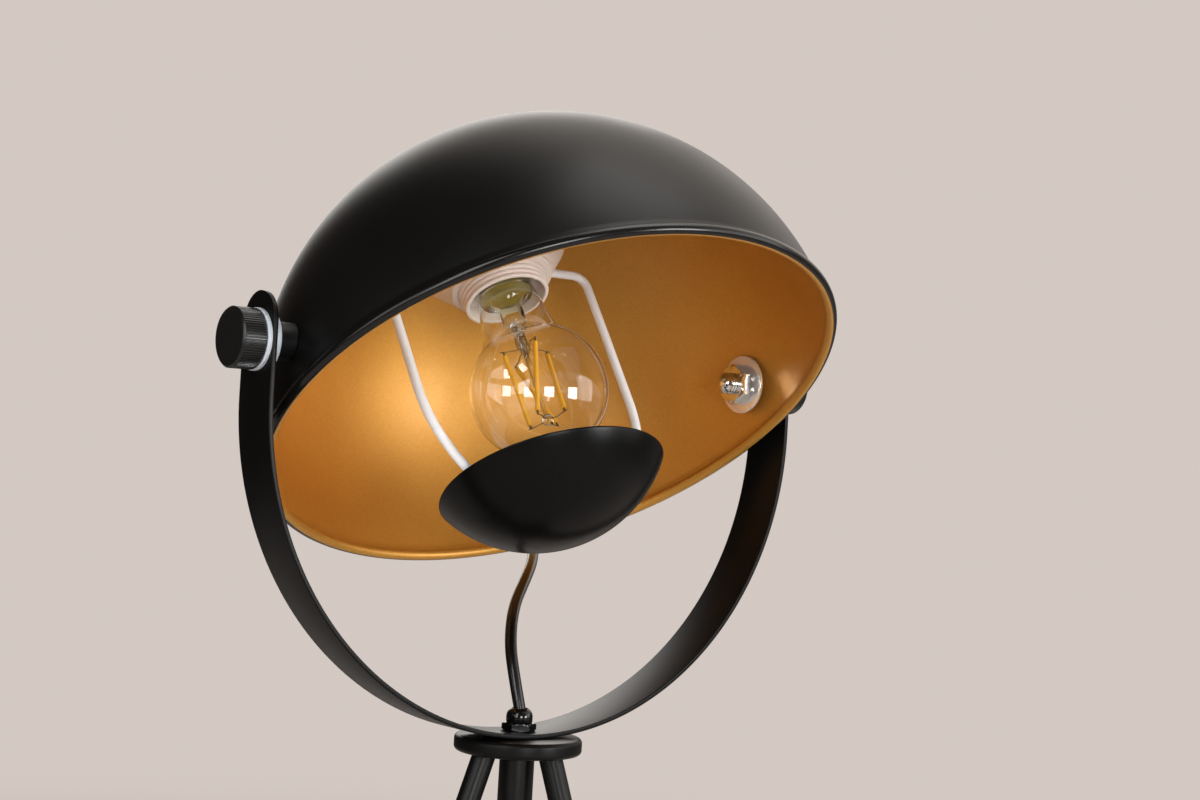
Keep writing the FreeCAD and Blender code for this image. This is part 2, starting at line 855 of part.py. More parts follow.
# ---------------------------------------------------------------- lampholder
def makeHolder():
    shellBore = size.shellRadius + size.fitGap
    ringCorners = [(size.mouthBore, 0), (size.mouthRadius, 0, size.ribRound)]
    ribs = 4
    for number in range(1, ribs + 1):
        share = number / ribs
        valley = size.mouthRadius + (size.ringRadius - size.mouthRadius) * share - size.ribDepth
        low = size.collarStep * share
        ringCorners.append((valley, low, size.ribRound) if number < ribs else (valley, low))
    ringCorners += [
        (size.ringRadius, size.collarStep),
        (size.ringRadius, size.ringLength),
        (shellBore, size.ringLength),
        (shellBore, size.shellStep),
        (size.mouthBore, size.shellStep),
    ]
    holderRing = turned("holder_ring", ringCorners, onHanger(holderFront))

    collarBore = size.ringRadius + size.fitGap
    nose = dim(1.2)
    collarBody = turned("collarBlank", [
        (collarBore, 0),
        (size.collarMouth - nose, 0, nose),
        (size.collarMouth, nose),
        (size.collarMouth, nose * 1.5),
        (size.collarRadius, size.collarSlope),
        (size.collarRadius, size.collarLength - size.collarRound, size.collarRound),
        (size.collarRadius - size.collarRound, size.collarLength),
        (collarBore, size.collarLength),
    ], onHanger(collarFront))
    wireHoles = []
    for sign in sides.values():
        start = onHanger(holderFront + size.wireShelf) * place(0, size.wireSide.value, 0) * along(
            sign, size.ringRadius + 1.5, Placement())
        wireHoles.append(cylinder("wireHole", size.wireRadius + size.fitGap,
                                  size.collarRadius - size.ringRadius, start))
    collar = cut("holder_collar", collarBody, wireHoles)

    shell = ring("screw_shell", size.baseRadius + size.runGap, size.shellRadius,
                 size.ringLength - size.shellStep, onHanger(holderFront + size.shellStep))

    nest = size.baseRadius + 0.4
    core = turned("holder_core", [
        (0, nestDepth),
        (nest, nestDepth),
        (nest, 0),
        (size.ringRadius, 0),
        (size.ringRadius, coreFlange),
        (size.coreWall, coreFlange),
        (size.coreWall, coreLength),
        (0, coreLength),
    ], onHanger(coreFront))
    contact = cylinder("centre_contact", size.contactRadius, size.contactThick,
                       onHanger(coreFront + nestDepth - size.contactThick))

    capInner = size.capRadius - size.capWall
    shoulder = size.capLength - size.capRound
    roof = size.capLength - size.capWall - 1.5
    tubeHole = size.studRadius + size.fitGap
    capBody = turned("capBlank", [
        (capInner, 0),
        (size.capRadius, 0),
        (size.capRadius, shoulder, size.capRound),
        (size.capRadius - size.capRound, size.capLength),
        (tubeHole, size.capLength),
        (tubeHole, roof),
        (size.capHollow, roof, size.capHollow - capInner),
        (capInner, roof - capInner + size.capHollow),
    ], onHanger(coreFront + coreFlange))
    sideways = place(0, size.capHollow.value, 0, Vector(1, 0, 0), -90)
    leadHole = cylinder("leadHole", size.leadHole, size.capRadius,
                        onHanger(coreFront + coreLength + size.terminalSide * 0.7) * sideways)
    cap = cut("holder_cap", capBody, [leadHole])

    coreTop = coreFront + coreLength
    side = size.terminalSide
    blocks = []
    for left in (-side.value - 1, 1):
        at = onHanger(coreTop) * place(left, side.value - 0.5, 0)
        blocks.append(block("terminal", side, side, side, at))
    terminals = together("terminals", blocks)
    return [holderRing, collar, shell, core, contact, cap, terminals]


# ---------------------------------------------------------------- bulb
def makeBulb():
    # The globe runs into the neck through a hollow curve that touches both.
    wall = size.glassWall
    flareReach = size.bulbRadius + size.bulbFlare
    flareX = size.bulbWaist + size.bulbFlare
    flareZ = root(flareReach * flareReach - flareX * flareX)
    touchX = flareX * size.bulbRadius / flareReach
    touchZ = flareZ * size.bulbRadius / flareReach
    innerRadius = size.bulbRadius - wall
    innerX = flareX * innerRadius / flareReach
    innerZ = flareZ * innerRadius / flareReach
    neck = size.bulbReach + size.baseStep - 2
    end = neck + 6
    glass = turned("bulb_glass", [
        (0, -innerRadius),
        (0, -size.bulbRadius, size.bulbRadius),
        (size.bulbRadius, 0, size.bulbRadius),
        (touchX, touchZ, -size.bulbFlare),
        (size.bulbWaist, flareZ),
        (size.glassNeck, neck),
        (size.glassNeck, end),
        (size.glassNeck - wall, end),
        (size.glassNeck - wall, neck),
        (size.bulbWaist - wall, flareZ, size.bulbFlare + wall),
        (innerX, innerZ, -innerRadius),
        (innerRadius, 0, -innerRadius),
    ], onHanger(bulbMiddle))
    inner = size.baseRadius - 0.5
    base = turned("bulb_base", [
        (inner, 0),
        (size.baseRadius, 0),
        (size.baseRadius, size.baseLength),
        (size.beadWide + 0.6, size.baseLength + 2.2),
        (size.beadWide + 0.2, size.baseLength + 1.9),
        (inner, size.baseLength - 0.2),
    ], onHanger(baseFront))
    beadTop = size.baseLength + size.beadHeight
    glassBead = turned("bulb_insulator", [
        (0, size.baseLength + 1),
        (size.beadWide, size.baseLength + 1),
        (size.beadWide, size.baseLength + 2.2),
        (size.buttonRadius + 0.3, beadTop),
        (0, beadTop),
    ], onHanger(baseFront))
    button = cylinder("bulb_contact", size.buttonRadius, size.contactThick, onHanger(baseFront + beadTop))

    ball = size.stemBall
    rodRadius = size.stemRod
    stemTop = size.bulbReach + size.baseStep
    pinchTop = size.stemPinch + size.pinchLength
    ballMiddle = size.filamentFoot - 1.7
    ballTop = ballMiddle + root(ball * ball - rodRadius * rodRadius)
    stem = turned("bulb_stem", [
        (0, ballMiddle - ball, ball),
        (ball, ballMiddle, ball),
        (rodRadius, ballTop),
        (rodRadius, size.stemPinch),
        (size.pinchRadius, size.stemPinch + 1),
        (size.pinchRadius, pinchTop),
        (size.stemTube, pinchTop + 2),
        (size.stemTube, stemTop - size.stemFlare),
        (size.stemMouth, stemTop),
        (size.stemMouth, stemTop + 3),
        (0, stemTop + 3),
    ], onHanger(bulbMiddle))

    # Four filaments stand round the stem and lean a little in turn.
    filaments = []
    wires = []
    gap = size.wireThin.value + 0.1
    middle = onHanger(bulbMiddle)
    topRing = size.filamentRing.value
    footRing = size.filamentFootRing.value
    pinch = size.stemPinch.value
    for number in range(4):
        angle = math.radians(80 + 90 * number)
        lean = math.radians(28 + 90 * number)
        outwards = Vector(math.cos(angle), math.sin(angle), 0)
        footwards = Vector(math.cos(lean), math.sin(lean), 0)
        top = outwards * topRing + Vector(0, 0, size.filamentTop.value)
        low = footwards * footRing + Vector(0, 0, size.filamentFoot.value)
        clear = (top - low).normalize() * gap
        filaments.append(rod("filament", size.filamentRadius, low, top, middle))
        pinchEnd = outwards * (size.pinchRadius.value + gap) + Vector(0, 0, pinch + 3)
        wires.append(rod("upperWire", size.wireThin, pinchEnd, top + clear, middle))
        ballEnd = footwards * (ball.value + gap) + Vector(0, 0, ballMiddle.value - gap)
        wires.append(rod("lowerWire", size.wireThin, ballEnd, low - clear, middle))
    return [
        glass, base, glassBead, button, stem,
        together("bulb_filaments", filaments),
        together("bulb_wires", wires),
    ]


# ---------------------------------------------------------------- wire frame and bowl
def makeWireFrame():
    # Shelves out of the collar, straight legs, then two tangent arcs a side that meet under the bulb.
    spread = size.wireSpread.value
    shelf = size.wireShelf.value
    bend = size.wireBend.value
    turn = -size.wireTurn.value
    depth = size.wireDepth.value
    base = size.wireBase.value
    inside = size.ringRadius.value + 2.5
    bottom = turn - depth
    # Large radius of the side arc, from the two centres lying its difference with the base arc apart.
    large = (spread ** 2 + (depth - base) ** 2 - base ** 2) / (2 * (spread - base))
    towards = Vector(large - spread, 0, base - depth).normalize()

    def mirror(point):
        return Vector(-point.x, point.y, point.z)

    sideCentre = Vector(spread - large, 0, turn)
    baseCentre = Vector(0, 0, bottom + base)
    meet = sideCentre + towards * large
    sideMiddle = sideCentre + (Vector(1, 0, 0) + towards).normalize() * large
    baseMiddle = baseCentre + (towards + Vector(0, 0, -1)).normalize() * base
    half = math.sqrt(0.5)
    bendMiddle = Vector(spread - bend + bend * half, 0, shelf - bend + bend * half)
    right = [
        (Vector(inside, 0, shelf), Vector(spread - bend, 0, shelf)),
        (Vector(spread - bend, 0, shelf), bendMiddle, Vector(spread, 0, shelf - bend)),
        (Vector(spread, 0, shelf - bend), Vector(spread, 0, turn)),
        (Vector(spread, 0, turn), sideMiddle, meet),
        (meet, baseMiddle, Vector(0, 0, bottom)),
    ]
    left = [tuple(mirror(point) for point in reversed(run)) for run in reversed(right)]
    edges = []
    for run in right + left:
        curve = Part.LineSegment(*run) if len(run) == 2 else Part.Arc(*run)
        edges.append(curve.toShape())
    at = onHanger(holderFront) * place(0, size.wireSide.value, 0)
    return sweep("wire_frame", edges, size.wireRadius, at)


def makeBowl():
    # A shallow bowl of one sphere. Its frame is the sphere's centre with Z out through the bowl.
    outer = size.bowlRadius
    inner = outer - size.bowlWall
    rim = root(outer * outer - size.bowlRim * size.bowlRim)
    # Its inside rests on the lowest point of the wire.
    lowest = holderFront - size.wireTurn - size.wireDepth
    middle = lowest - size.wireRadius + inner
    side = size.wireSide + size.bowlSide
    at = onHanger(middle) * place(0, side.value, 0, Vector(1, 0, 0), 180 + size.bowlTilt.value)
    return turned("glare_cap", [
        (0, inner, -inner),
        (root(inner * inner - rim * rim), rim),
        (size.bowlRim, rim, outer),
        (0, outer),
    ], at)


# ---------------------------------------------------------------- gland on the back of the shade
def makeExit():
    outside = ballCentre * exitWay * place(0, 0, size.shadeRadius.value)
    mouth = size.cordRadius + size.fitGap
    gland = turned("exit_gland", [
        (mouth, -6),
        (size.studRadius, -6),
        (size.studRadius, 0),
        (size.exitFlange, 0),
        (size.exitFlange, 2.2),
        (6, 2.2),
        (4.4, size.exitNose),
        (mouth, size.exitNose),
    ], outside)
    nut = hexNut("exit_nut", size.apexAcross, size.studRadius + size.fitGap, 3.5,
                 outside * place(0, 0, -4.8))
    return [gland, nut]


# ---------------------------------------------------------------- cords, plug and switch
glandMouth = strapBottom + size.strapThick + glandSeat + size.glandThick + size.glandNose
leadStart = discUnder - size.stemLength - size.bushFlange - size.reliefLength
switchMiddle = size.switchHeight / 2
reliefLong = size.plugRelief
plugSide = size.plugSide
plugFace = size.plugBack - reliefLong

# From inside the exit gland over the back of the shade and down to the gland in the yoke. The heights
# count from the tilt axis and all grows with the shade. The last points stand over the gland.
exitInside = (ballCentre * exitWay).multVec(Vector(0, 0, size.shadeRadius.value - 6))
growth = size.shadeRadius.value / 124.5
backRoute = [
    (0, 106, 75),
    (7, 130, 80),
    (22, 152, 62),
    (40, 163, 30),
    (58, 163, -8),
    (74, 153, -44),
    (84, 133, -69),
    (78, 103, -77),
    (55, 71, -88),
    (32, 45, -95.5),
    (13, 27, -106),
]
headRoute = [tuple(exitInside)]
for x, y, z in backRoute:
    headRoute.append((x * growth, y * growth, size.pivotHeight.value + z * growth))
for x, y, z in ((2, 13, 27), (-1.5, 3, 12.5), (0, 0, 0)):
    headRoute.append((x * growth, y * growth, glandMouth.value + z * growth))
# From the stem down to the table and into the switch. The third number is the share of the fall still left.
fallRoute = [
    (0, 0, 1),
    (0.5, 1, 0.83),
    (2.5, 5, 0.628),
    (7, 13, 0.403),
    (12.5, 25, 0.194),
    (18, 41, 0.047),
    (21.5, 54, 0.005),
    (22, 64, 0),
]
fall = leadStart - switchMiddle
stemRoute = [(x, y, (switchMiddle + fall * share).value) for x, y, share in fallRoute]
# From the switch round to the coil.
coilStart = size.coilBack + size.coilRadius + size.cordRadius * 2
middleRoute = [
    (22, 164, 9),
    (21.5, 176, 7.6),
    (13, 189, 4.6),
    (-6, 195.5, 3.6),
    (-27, 194.4, 3.6),
    (-45, 193.2, 3.6),
]
# From the coil to the plug.
plugRoute = [
    (-78.2, 160, 4),
    (-79, 147, 4.6),
    (-81.6, 131, 6),
    (-83.7, 119, 6.7),
    (-84, 110, 6.85),
]
# From the exit gland to the terminals of the lampholder. The second and third numbers are the shares of
# the way sideways and upwards that are left to go.
leadShares = [
    (1.3, 1, 1),
    (1.6, 0.916, 0.611),
    (2.4, 0.681, 0.257),
    (3.2, 0.325, 0.086),
    (3.5, 0, 0.006),
]
leadStartPoint = exitWay.multVec(Vector(0, 0, size.shadeRadius.value - 6.5))
leadTop = leadStartPoint.z - size.shadeDrop.value
leadSide = leadStartPoint.y
terminalFace = size.hangBack.value + size.terminalSide.value * 2 - 0.2
terminalMiddle = (coreFront + coreLength + size.terminalSide / 2).value
doubleLead = []
for x, across, upwards in leadShares:
    y = terminalFace + (leadSide - terminalFace) * across
    z = terminalMiddle + (leadTop - terminalMiddle) * upwards
    doubleLead.append((x, size.hangSide.value * (1 - across ** 3), y, z))


def makeCords():
    leads = []
    for sign in (-1, 1):
        points = [(sign * x + shift, y, z) for x, shift, y, z in doubleLead]
        leads.append(cordTube("holderLead", points, size.leadRadius, headPlace))
    coil = size.coilSection / 2
    corner = size.coilRound
    low = size.tieThick + size.fitGap
    inner = size.coilRadius - coil
    outer = size.coilRadius + coil
    high = low + size.coilSection
    coilBody = turned("cord_coil", [
        (inner + corner, low),
        (outer - corner, low, corner),
        (outer, low + corner),
        (outer, high - corner, corner),
        (outer - corner, high),
        (inner + corner, high, corner),
        (inner, high - corner),
        (inner, low + corner, corner),
    ], place(size.coilSide.value, size.coilBack.value, 0))
    gap = size.fitGap
    tieOuter = size.coilSection + (size.tieThick + gap) * 2
    tieInner = size.coilSection + gap * 2
    tieX = size.coilSide + size.coilRadius - tieOuter / 2
    tieY = size.coilBack - size.tieWidth / 2
    outerBand = block("tieOuter", tieOuter, size.tieWidth, tieOuter, place(tieX.value, tieY.value, 0))
    innerBand = block("tieInner", tieInner, size.tieWidth, tieInner,
                      place((tieX + size.tieThick).value, tieY.value, size.tieThick.value))
    return [
        cordTube("head_cable", headRoute, size.cordRadius),
        cordTube("stem_lead", stemRoute, size.cordRadius),
        cordTube("middle_lead", middleRoute, size.cordRadius),
        cordTube("plug_lead", plugRoute, size.cordRadius),
        together("holder_leads", leads),
        coilBody,
        cut("coil_tie", outerBand, [innerBand]),
    ]


def reliefSleeve(name, length, at):
    bore = size.cordRadius + size.fitGap
    wide = size.cordRadius + 2
    tip = size.cordRadius + 0.9
    return turned(name, [(bore, 0), (wide, 0), (tip, length), (bore, length)], at)


def makeSwitch():
    # Two halves that meet at half height. The rocker sits in a slot of the upper half.
    width = size.switchWidth
    length = size.switchLength
    half = size.switchHeight / 2
    wall = size.switchWall
    side = size.switchSide - width / 2
    lowerAt = place(side.value, size.switchBack.value, 0)
    upperAt = place(side.value, size.switchBack.value, half.value)

    def shellHalf(name, at):
        body = newBody(name, at)
        plan = newSketch(body, "XY_Plane")
        corner = size.switchRound
        drawLoop(plan, [
            (corner, 0),
            (width - corner, 0, corner),
            (width, corner),
            (width, length - corner, corner),
            (width - corner, length),
            (corner, length, corner),
            (0, length - corner),
            (0, corner, corner),
        ])
        pad(body, plan, half)
        return body

    lowerBlank = shellHalf("lowerBlank", lowerAt)
    lowerRoom = block("lowerRoom", width - wall * 2, length - wall * 2 - 4, half,
                      lowerAt * place(wall.value, wall.value + 2, wall.value))
    lower = cut("switch_lower", lowerBlank, [lowerRoom])
    upperBlank = shellHalf("upperBlank", upperAt)
    upperRoom = block("upperRoom", width - wall * 2, length - wall * 2 - 4, half - wall,
                      upperAt * place(wall.value, wall.value + 2, 0))
    slotWide = size.rockerWidth + 0.4
    slotLong = size.rockerReach * 2 + 1.8
    slot = block("rockerSlot", slotWide, slotLong, half,
                 upperAt * place((width / 2 - slotWide / 2).value, (length / 2 - slotLong / 2).value, 0))
    middle = size.switchBack + length / 2
    cheekOut = slotWide + 4
    pinHole = cylinder("pinHole", size.rockerPin + size.runGap, cheekOut,
                       place((size.switchSide - cheekOut / 2).value, middle.value,
                             size.rockerPivot.value, Vector(0, 1, 0), 90))
    # Two cheeks inside the upper half carry the pins of the rocker.
    cheekBlank = block("cheekBlank", cheekOut, size.rockerReach, half - wall,
                       upperAt * place((width / 2 - cheekOut / 2).value,
                                       (length / 2 - size.rockerReach / 2).value, 0))
    walls = cut("upperWalls", upperBlank, [upperRoom])
    joined = doc.addObject("Part::Fuse", "upperJoined")
    joined.Base = walls
    joined.Tool = cheekBlank
    upper = cut("switch_upper", joined, [slot, pinHole])

    rocker = newBody("switch_rocker", place(size.switchSide.value, middle.value, size.rockerPivot.value)
                     * place(0, 0, 0, Vector(1, 0, 0), -7))
    shape = newSketch(rocker, "YZ_Plane")
    reach = size.rockerReach
    drawLoop(shape, [
        (-reach, -2.6),
        (reach, -2.6),
        (reach, 4.6),
        (0, 3.6),
        (-reach, 4.6),
    ])
    pad(rocker, shape, size.rockerWidth, midplane=True)
    pins = newSketch(rocker, "YZ_Plane")
    drawCircle(pins, 0, 0, size.rockerPin)
    pad(rocker, pins, cheekOut - 0.4, midplane=True)

    sleeves = []
    for back, turn in ((size.switchBack, 90), (size.switchBack + length, -90)):
        at = place(size.switchSide.value, back.value, switchMiddle.value, Vector(1, 0, 0), turn)
        sleeves.append(reliefSleeve("sleeve", reliefLong, at))
    return [lower, upper, rocker, together("switch_reliefs", sleeves)]


def makeLeadEnds():
    # The lead where it runs on inside the two sleeves of the switch and the sleeve of the plug.
    gap = size.slantGap
    places = [
        (size.switchSide, size.switchBack - reliefLong + gap, switchMiddle),
        (size.switchSide, size.switchBack + size.switchLength, switchMiddle),
        (plugSide, plugFace, size.plugHeight / 2),
    ]
    ends = []
    for x, y, z in places:
        at = place(x.value, y.value, z.value, Vector(1, 0, 0), -90)
        ends.append(cylinder("leadEnd", size.cordRadius, reliefLong - gap, at))
    return together("lead_ends", ends)


def makePlug():
    # A flat two-pin plug that lies on the table, its pins towards -Y.
    high = size.plugHeight / 2
    x = plugSide.value
    face = plugFace.value
    body = newBody("plug_body", place(x, face, high.value, Vector(1, 0, 0), 90))
    outline = newSketch(body, "XY_Plane")
    wide = size.plugWidth / 2
    corner = size.plugRound
    drawLoop(outline, [
        (corner - wide, -high),
        (wide - corner, -high, corner),
        (wide, corner - high),
        (wide, high - corner, corner),
        (wide - corner, high),
        (corner - wide, high, corner),
        (-wide, high - corner),
        (-wide, corner - high, corner),
    ])
    pad(body, outline, size.plugLength)
    relief = reliefSleeve("plug_relief", reliefLong,
                          place(x, face, high.value, Vector(1, 0, 0), -90))
    pins = []
    for sign in (-1, 1):
        at = place(x + sign * size.pinPitch.value / 2, face - size.plugLength.value, high.value,
                   Vector(1, 0, 0), 90)
        pins.append(cylinder("plugPin", size.pinRadius, size.pinLength, at))
    return [body, relief, together("plug_pins", pins)]


# ---------------------------------------------------------------- the lamp
nodes = [makeTopDisc(), makeYoke(), makeShade(), makeWireFrame(), makeBowl()]
nodes += makeStem()
nodes += makeLegs()
nodes += makeGland()
nodes += [makeKnob(side, sign) for side, sign in sides.items()]
nodes += makePivots()
nodes += makeApex()
nodes += makeHolder()
nodes += makeBulb()
nodes += makeExit()
nodes += makeCords()
nodes += makeSwitch()
nodes += makePlug()
nodes += [makeLeadEnds()]
doc.recompute()

for item in doc.Objects:
    if "Invalid" in item.State or "Error" in item.State:
        raise RuntimeError("%s (%s) is %s" % (item.Label, item.Name, item.State))
for node in nodes:
    shape = node.Shape
    if shape.isNull() or not shape.isValid():
        raise RuntimeError(node.Label + " has no valid shape")
for node in nodes:
    node.Shape.exportStep("parts/%s.step" % node.Label)
    print("%-18s solids %d, volume %.1f" % (node.Label, len(node.Shape.Solids), node.Shape.Volume))
print(len(nodes), "nodes")
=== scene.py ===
import json
import math
import bmesh
import bpy
import numpy as np
from mathutils import Matrix, Vector


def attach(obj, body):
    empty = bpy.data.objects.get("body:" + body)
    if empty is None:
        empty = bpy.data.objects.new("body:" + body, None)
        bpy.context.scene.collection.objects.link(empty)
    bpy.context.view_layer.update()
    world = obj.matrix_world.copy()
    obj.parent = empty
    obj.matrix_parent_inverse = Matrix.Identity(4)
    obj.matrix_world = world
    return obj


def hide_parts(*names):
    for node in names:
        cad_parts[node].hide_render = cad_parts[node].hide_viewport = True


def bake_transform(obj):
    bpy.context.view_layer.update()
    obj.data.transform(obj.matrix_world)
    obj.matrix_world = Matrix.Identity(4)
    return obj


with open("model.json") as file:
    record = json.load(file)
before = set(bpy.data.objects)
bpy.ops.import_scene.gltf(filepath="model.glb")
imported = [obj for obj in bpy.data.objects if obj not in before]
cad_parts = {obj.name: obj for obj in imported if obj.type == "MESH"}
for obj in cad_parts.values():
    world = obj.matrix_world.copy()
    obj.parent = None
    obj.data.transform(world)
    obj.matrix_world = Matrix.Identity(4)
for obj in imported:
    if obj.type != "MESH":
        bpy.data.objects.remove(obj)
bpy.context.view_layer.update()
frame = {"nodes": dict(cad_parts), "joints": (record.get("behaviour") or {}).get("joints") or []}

mm = 0.001
joints = {joint["name"]: joint for joint in frame["joints"]}
pivot = Vector(joints["shade_tilt"]["pos_m"])
shadeAxis = -Vector(joints["bulb_turn"]["axis"]).normalized()
print("frame loaded")


view = {
    "place": (-0.51158, -0.69490, -0.04042),  # from the tilt axis
    "right": (0.7842, -0.6179, 0.0576),
    "up": (-0.0647, 0.0109, 0.9978),
    "lens": 60.0,
    "sensor": 36.0,
}
studio = {
    "floorColour": "#D3C9C2",
    "fade": (0.5, 1.4),  # between these distances the floor fades into the backdrop
    "ambient": {"colour": "#F4F2EF", "strength": 0.2},
    "room": {"wall": "#F1E8DF", "dark": "#2C2520", "strength": 1.45},
    # soft steps from the dark room to the wall: direction, dot products from and to, least share
    "roomSteps": [((0.96, -0.28, 0.0), -0.3, 0.25, 0.0), ((0.617, 0.786, 0.0), -0.7, 0.5, 0.12),
                  ((0, 0, 1), 0.02, 0.45, 0.15)],
}
softboxes = {  # place, width and height, watts, colour
    "ceiling": ((0.32, -0.35, 1.92), (0.9, 0.9), 6.5, "#FFFDFA"),
    "tall": ((-1.34, -0.74, 0.87), (0.5, 1.4), 10, "#FFFFFF"),
    "left": ((-1.6, -0.05, 0.58), (0.8, 0.8), 4, "#FFFFFF"),
    "near": ((-0.525, -1.511, 0.382), (0.45, 0.45), 8.5, "#FFFFFF"),
    "right": ((0.57, -1.495, 0.397), (0.45, 0.45), 11, "#FFFFFF"),
    "side": ((1.16, -1.09, 0.62), (0.9, 0.9), 5, "#FFFDFA"),
    "rear": ((0.77, 1.45, 0.95), (1.0, 1.0), 5.5, "#FFFDFA"),
}


def linear(hexColour):
    # sRGB hex to linear numbers, as the shader's sockets want them
    parts = [int(hexColour[i:i + 2], 16) / 255 for i in (1, 3, 5)]
    curve = [c / 12.92 if c <= 0.04045 else ((c + 0.055) / 1.055) ** 2.4 for c in parts]
    return (*curve, 1.0)


def addNode(tree, kind, settings=None, **inputs):
    # One node with its settings. An input is a value, another node or an output socket; its keyword is the
    # socket's name with underscores, or an underscore and its number.
    node = tree.nodes.new("ShaderNode" + kind)
    for key, value in (settings or {}).items():
        setattr(node, key, value)
    for key, value in inputs.items():
        key = key.replace("_", " ").strip()
        socket = node.inputs[int(key) if key.isdigit() else key]
        if isinstance(value, bpy.types.Node):
            value = value.outputs[0]
        if isinstance(value, bpy.types.NodeSocket):
            tree.links.new(value, socket)
        else:
            socket.default_value = value
    return node


def blendColours(tree, factor, first, second):
    mix = addNode(tree, "Mix", {"data_type": "RGBA"}, _0=factor)
    mix.inputs[6].default_value = linear(first)
    mix.inputs[7].default_value = linear(second)
    return mix.outputs[2]


def emptyTree(owner):
    owner.use_nodes = True
    owner.node_tree.nodes.clear()
    return owner.node_tree


def newFinish(name):
    material = bpy.data.materials.new(name)
    return material, emptyTree(material)


def newObject(name, data):
    made = bpy.data.objects.new(name, data)
    bpy.context.scene.collection.objects.link(made)
    return made


def makeCamera():
    data = bpy.data.cameras.new("camera")
    data.lens = view["lens"]
    data.sensor_width = view["sensor"]
    camera = newObject("camera", data)
    right = Vector(view["right"]).normalized()
    back = right.cross(Vector(view["up"])).normalized()
    up = back.cross(right)
    turn = Matrix((right, up, back)).transposed().to_4x4()
    camera.matrix_world = Matrix.Translation(pivot + Vector(view["place"])) @ turn
    bpy.context.scene.camera = camera


def makeSoftbox(name, place, size, power, colour):
    data = bpy.data.lights.new(name, "AREA")
    data.shape = "RECTANGLE"
    data.size, data.size_y = size
    data.energy = power
    data.color = linear(colour)[:3]
    lamp = newObject(name, data)
    place = Vector(place)
    turn = (place - pivot).to_track_quat("Z", "Y").to_matrix().to_4x4()
    lamp.matrix_world = Matrix.Translation(place) @ turn
    lamp.visible_camera = False


def roomColour(tree, direction):
    # The pale wall stands behind and to the right and is darker low down; the room is dark on the other
    # sides. Each share is a soft step of the direction's dot product with a fixed one.
    share = 1.0
    for way, low, high, least in studio["roomSteps"]:
        dot = addNode(tree, "VectorMath", {"operation": "DOT_PRODUCT"}, _0=direction, _1=way)
        step = addNode(tree, "MapRange", {"interpolation_type": "SMOOTHSTEP"},
                       Value=dot.outputs["Value"], From_Min=low, From_Max=high, To_Min=least)
        share = addNode(tree, "Math", {"operation": "MULTIPLY"}, _0=share, _1=step)
    return blendColours(tree, share, studio["room"]["dark"], studio["room"]["wall"])


def makeWorld():
    world = bpy.data.worlds.new("studio")
    bpy.context.scene.world = world
    tree = emptyTree(world)
    ambient = addNode(tree, "Background", Color=linear(studio["ambient"]["colour"]),
                      Strength=studio["ambient"]["strength"])
    coords = addNode(tree, "TexCoord")
    room = addNode(tree, "Background", Color=roomColour(tree, coords.outputs["Generated"]),
                   Strength=studio["room"]["strength"])
    seen = addNode(tree, "Background", Color=linear(studio["floorColour"]), Strength=1.0)
    path = addNode(tree, "LightPath")
    direct = addNode(tree, "Math", {"operation": "MAXIMUM"},
                     _0=path.outputs["Is Camera Ray"], _1=path.outputs["Is Transmission Ray"])
    mirrored = addNode(tree, "MixShader", _0=path.outputs["Is Glossy Ray"], _1=ambient, _2=room)
    mix = addNode(tree, "MixShader", _0=direct, _1=mirrored, _2=seen)
    addNode(tree, "OutputWorld", Surface=mix)


def makeFloor():
    # A pale floor that keeps shadows near the lamp and fades into the plain backdrop further out.
    mesh = bpy.data.meshes.new("floor")
    far = 40.0
    mesh.from_pydata([(-far, -far, 0), (far, -far, 0), (far, far, 0), (-far, far, 0)], [], [(0, 1, 2, 3)])
    floor = newObject("floor", mesh)
    paint, tree = newFinish("paleFloor")
    colour = linear(studio["floorColour"])
    shader = addNode(tree, "BsdfPrincipled", Base_Color=colour, Roughness=0.85)
    plain = addNode(tree, "Emission", Color=colour, Strength=1.0)
    coords = addNode(tree, "TexCoord")
    distance = addNode(tree, "VectorMath", {"operation": "LENGTH"}, _0=coords.outputs["Object"])
    outwards = addNode(tree, "VectorMath", {"operation": "NORMALIZE"}, _0=coords.outputs["Object"])
    room = addNode(tree, "Emission", Color=roomColour(tree, outwards), Strength=1.0)
    low, high = studio["fade"]
    faded = addNode(tree, "MapRange", {"interpolation_type": "SMOOTHSTEP"},
                    Value=distance.outputs["Value"], From_Min=low, From_Max=high)
    path = addNode(tree, "LightPath")
    notDiffuse = addNode(tree, "Math", {"operation": "SUBTRACT"}, _0=1.0, _1=path.outputs["Is Diffuse Ray"])
    share = addNode(tree, "Math", {"operation": "MULTIPLY"}, _0=faded, _1=notDiffuse)
    beyond = addNode(tree, "MixShader", _0=path.outputs["Is Glossy Ray"], _1=plain, _2=room)
    mix = addNode(tree, "MixShader", _0=share, _1=shader, _2=beyond)
    addNode(tree, "OutputMaterial", Surface=mix)
    mesh.materials.append(paint)


bpy.context.scene.view_settings.view_transform = "Standard"
makeCamera()
for name, setup in softboxes.items():
    makeSoftbox(name, *setup)
makeWorld()
makeFloor()
print("camera, light and floor made")


def objectPoint(tree, grain):
    # Object coordinates counted in grains of a real size in millimetres
    coords = addNode(tree, "TexCoord")
    return addNode(tree, "Mapping", Vector=coords.outputs["Object"], Scale=[1 / (grain * mm)] * 3)


def between(tree, factor, low, high):
    return addNode(tree, "MapRange", Value=factor, To_Min=low, To_Max=high)


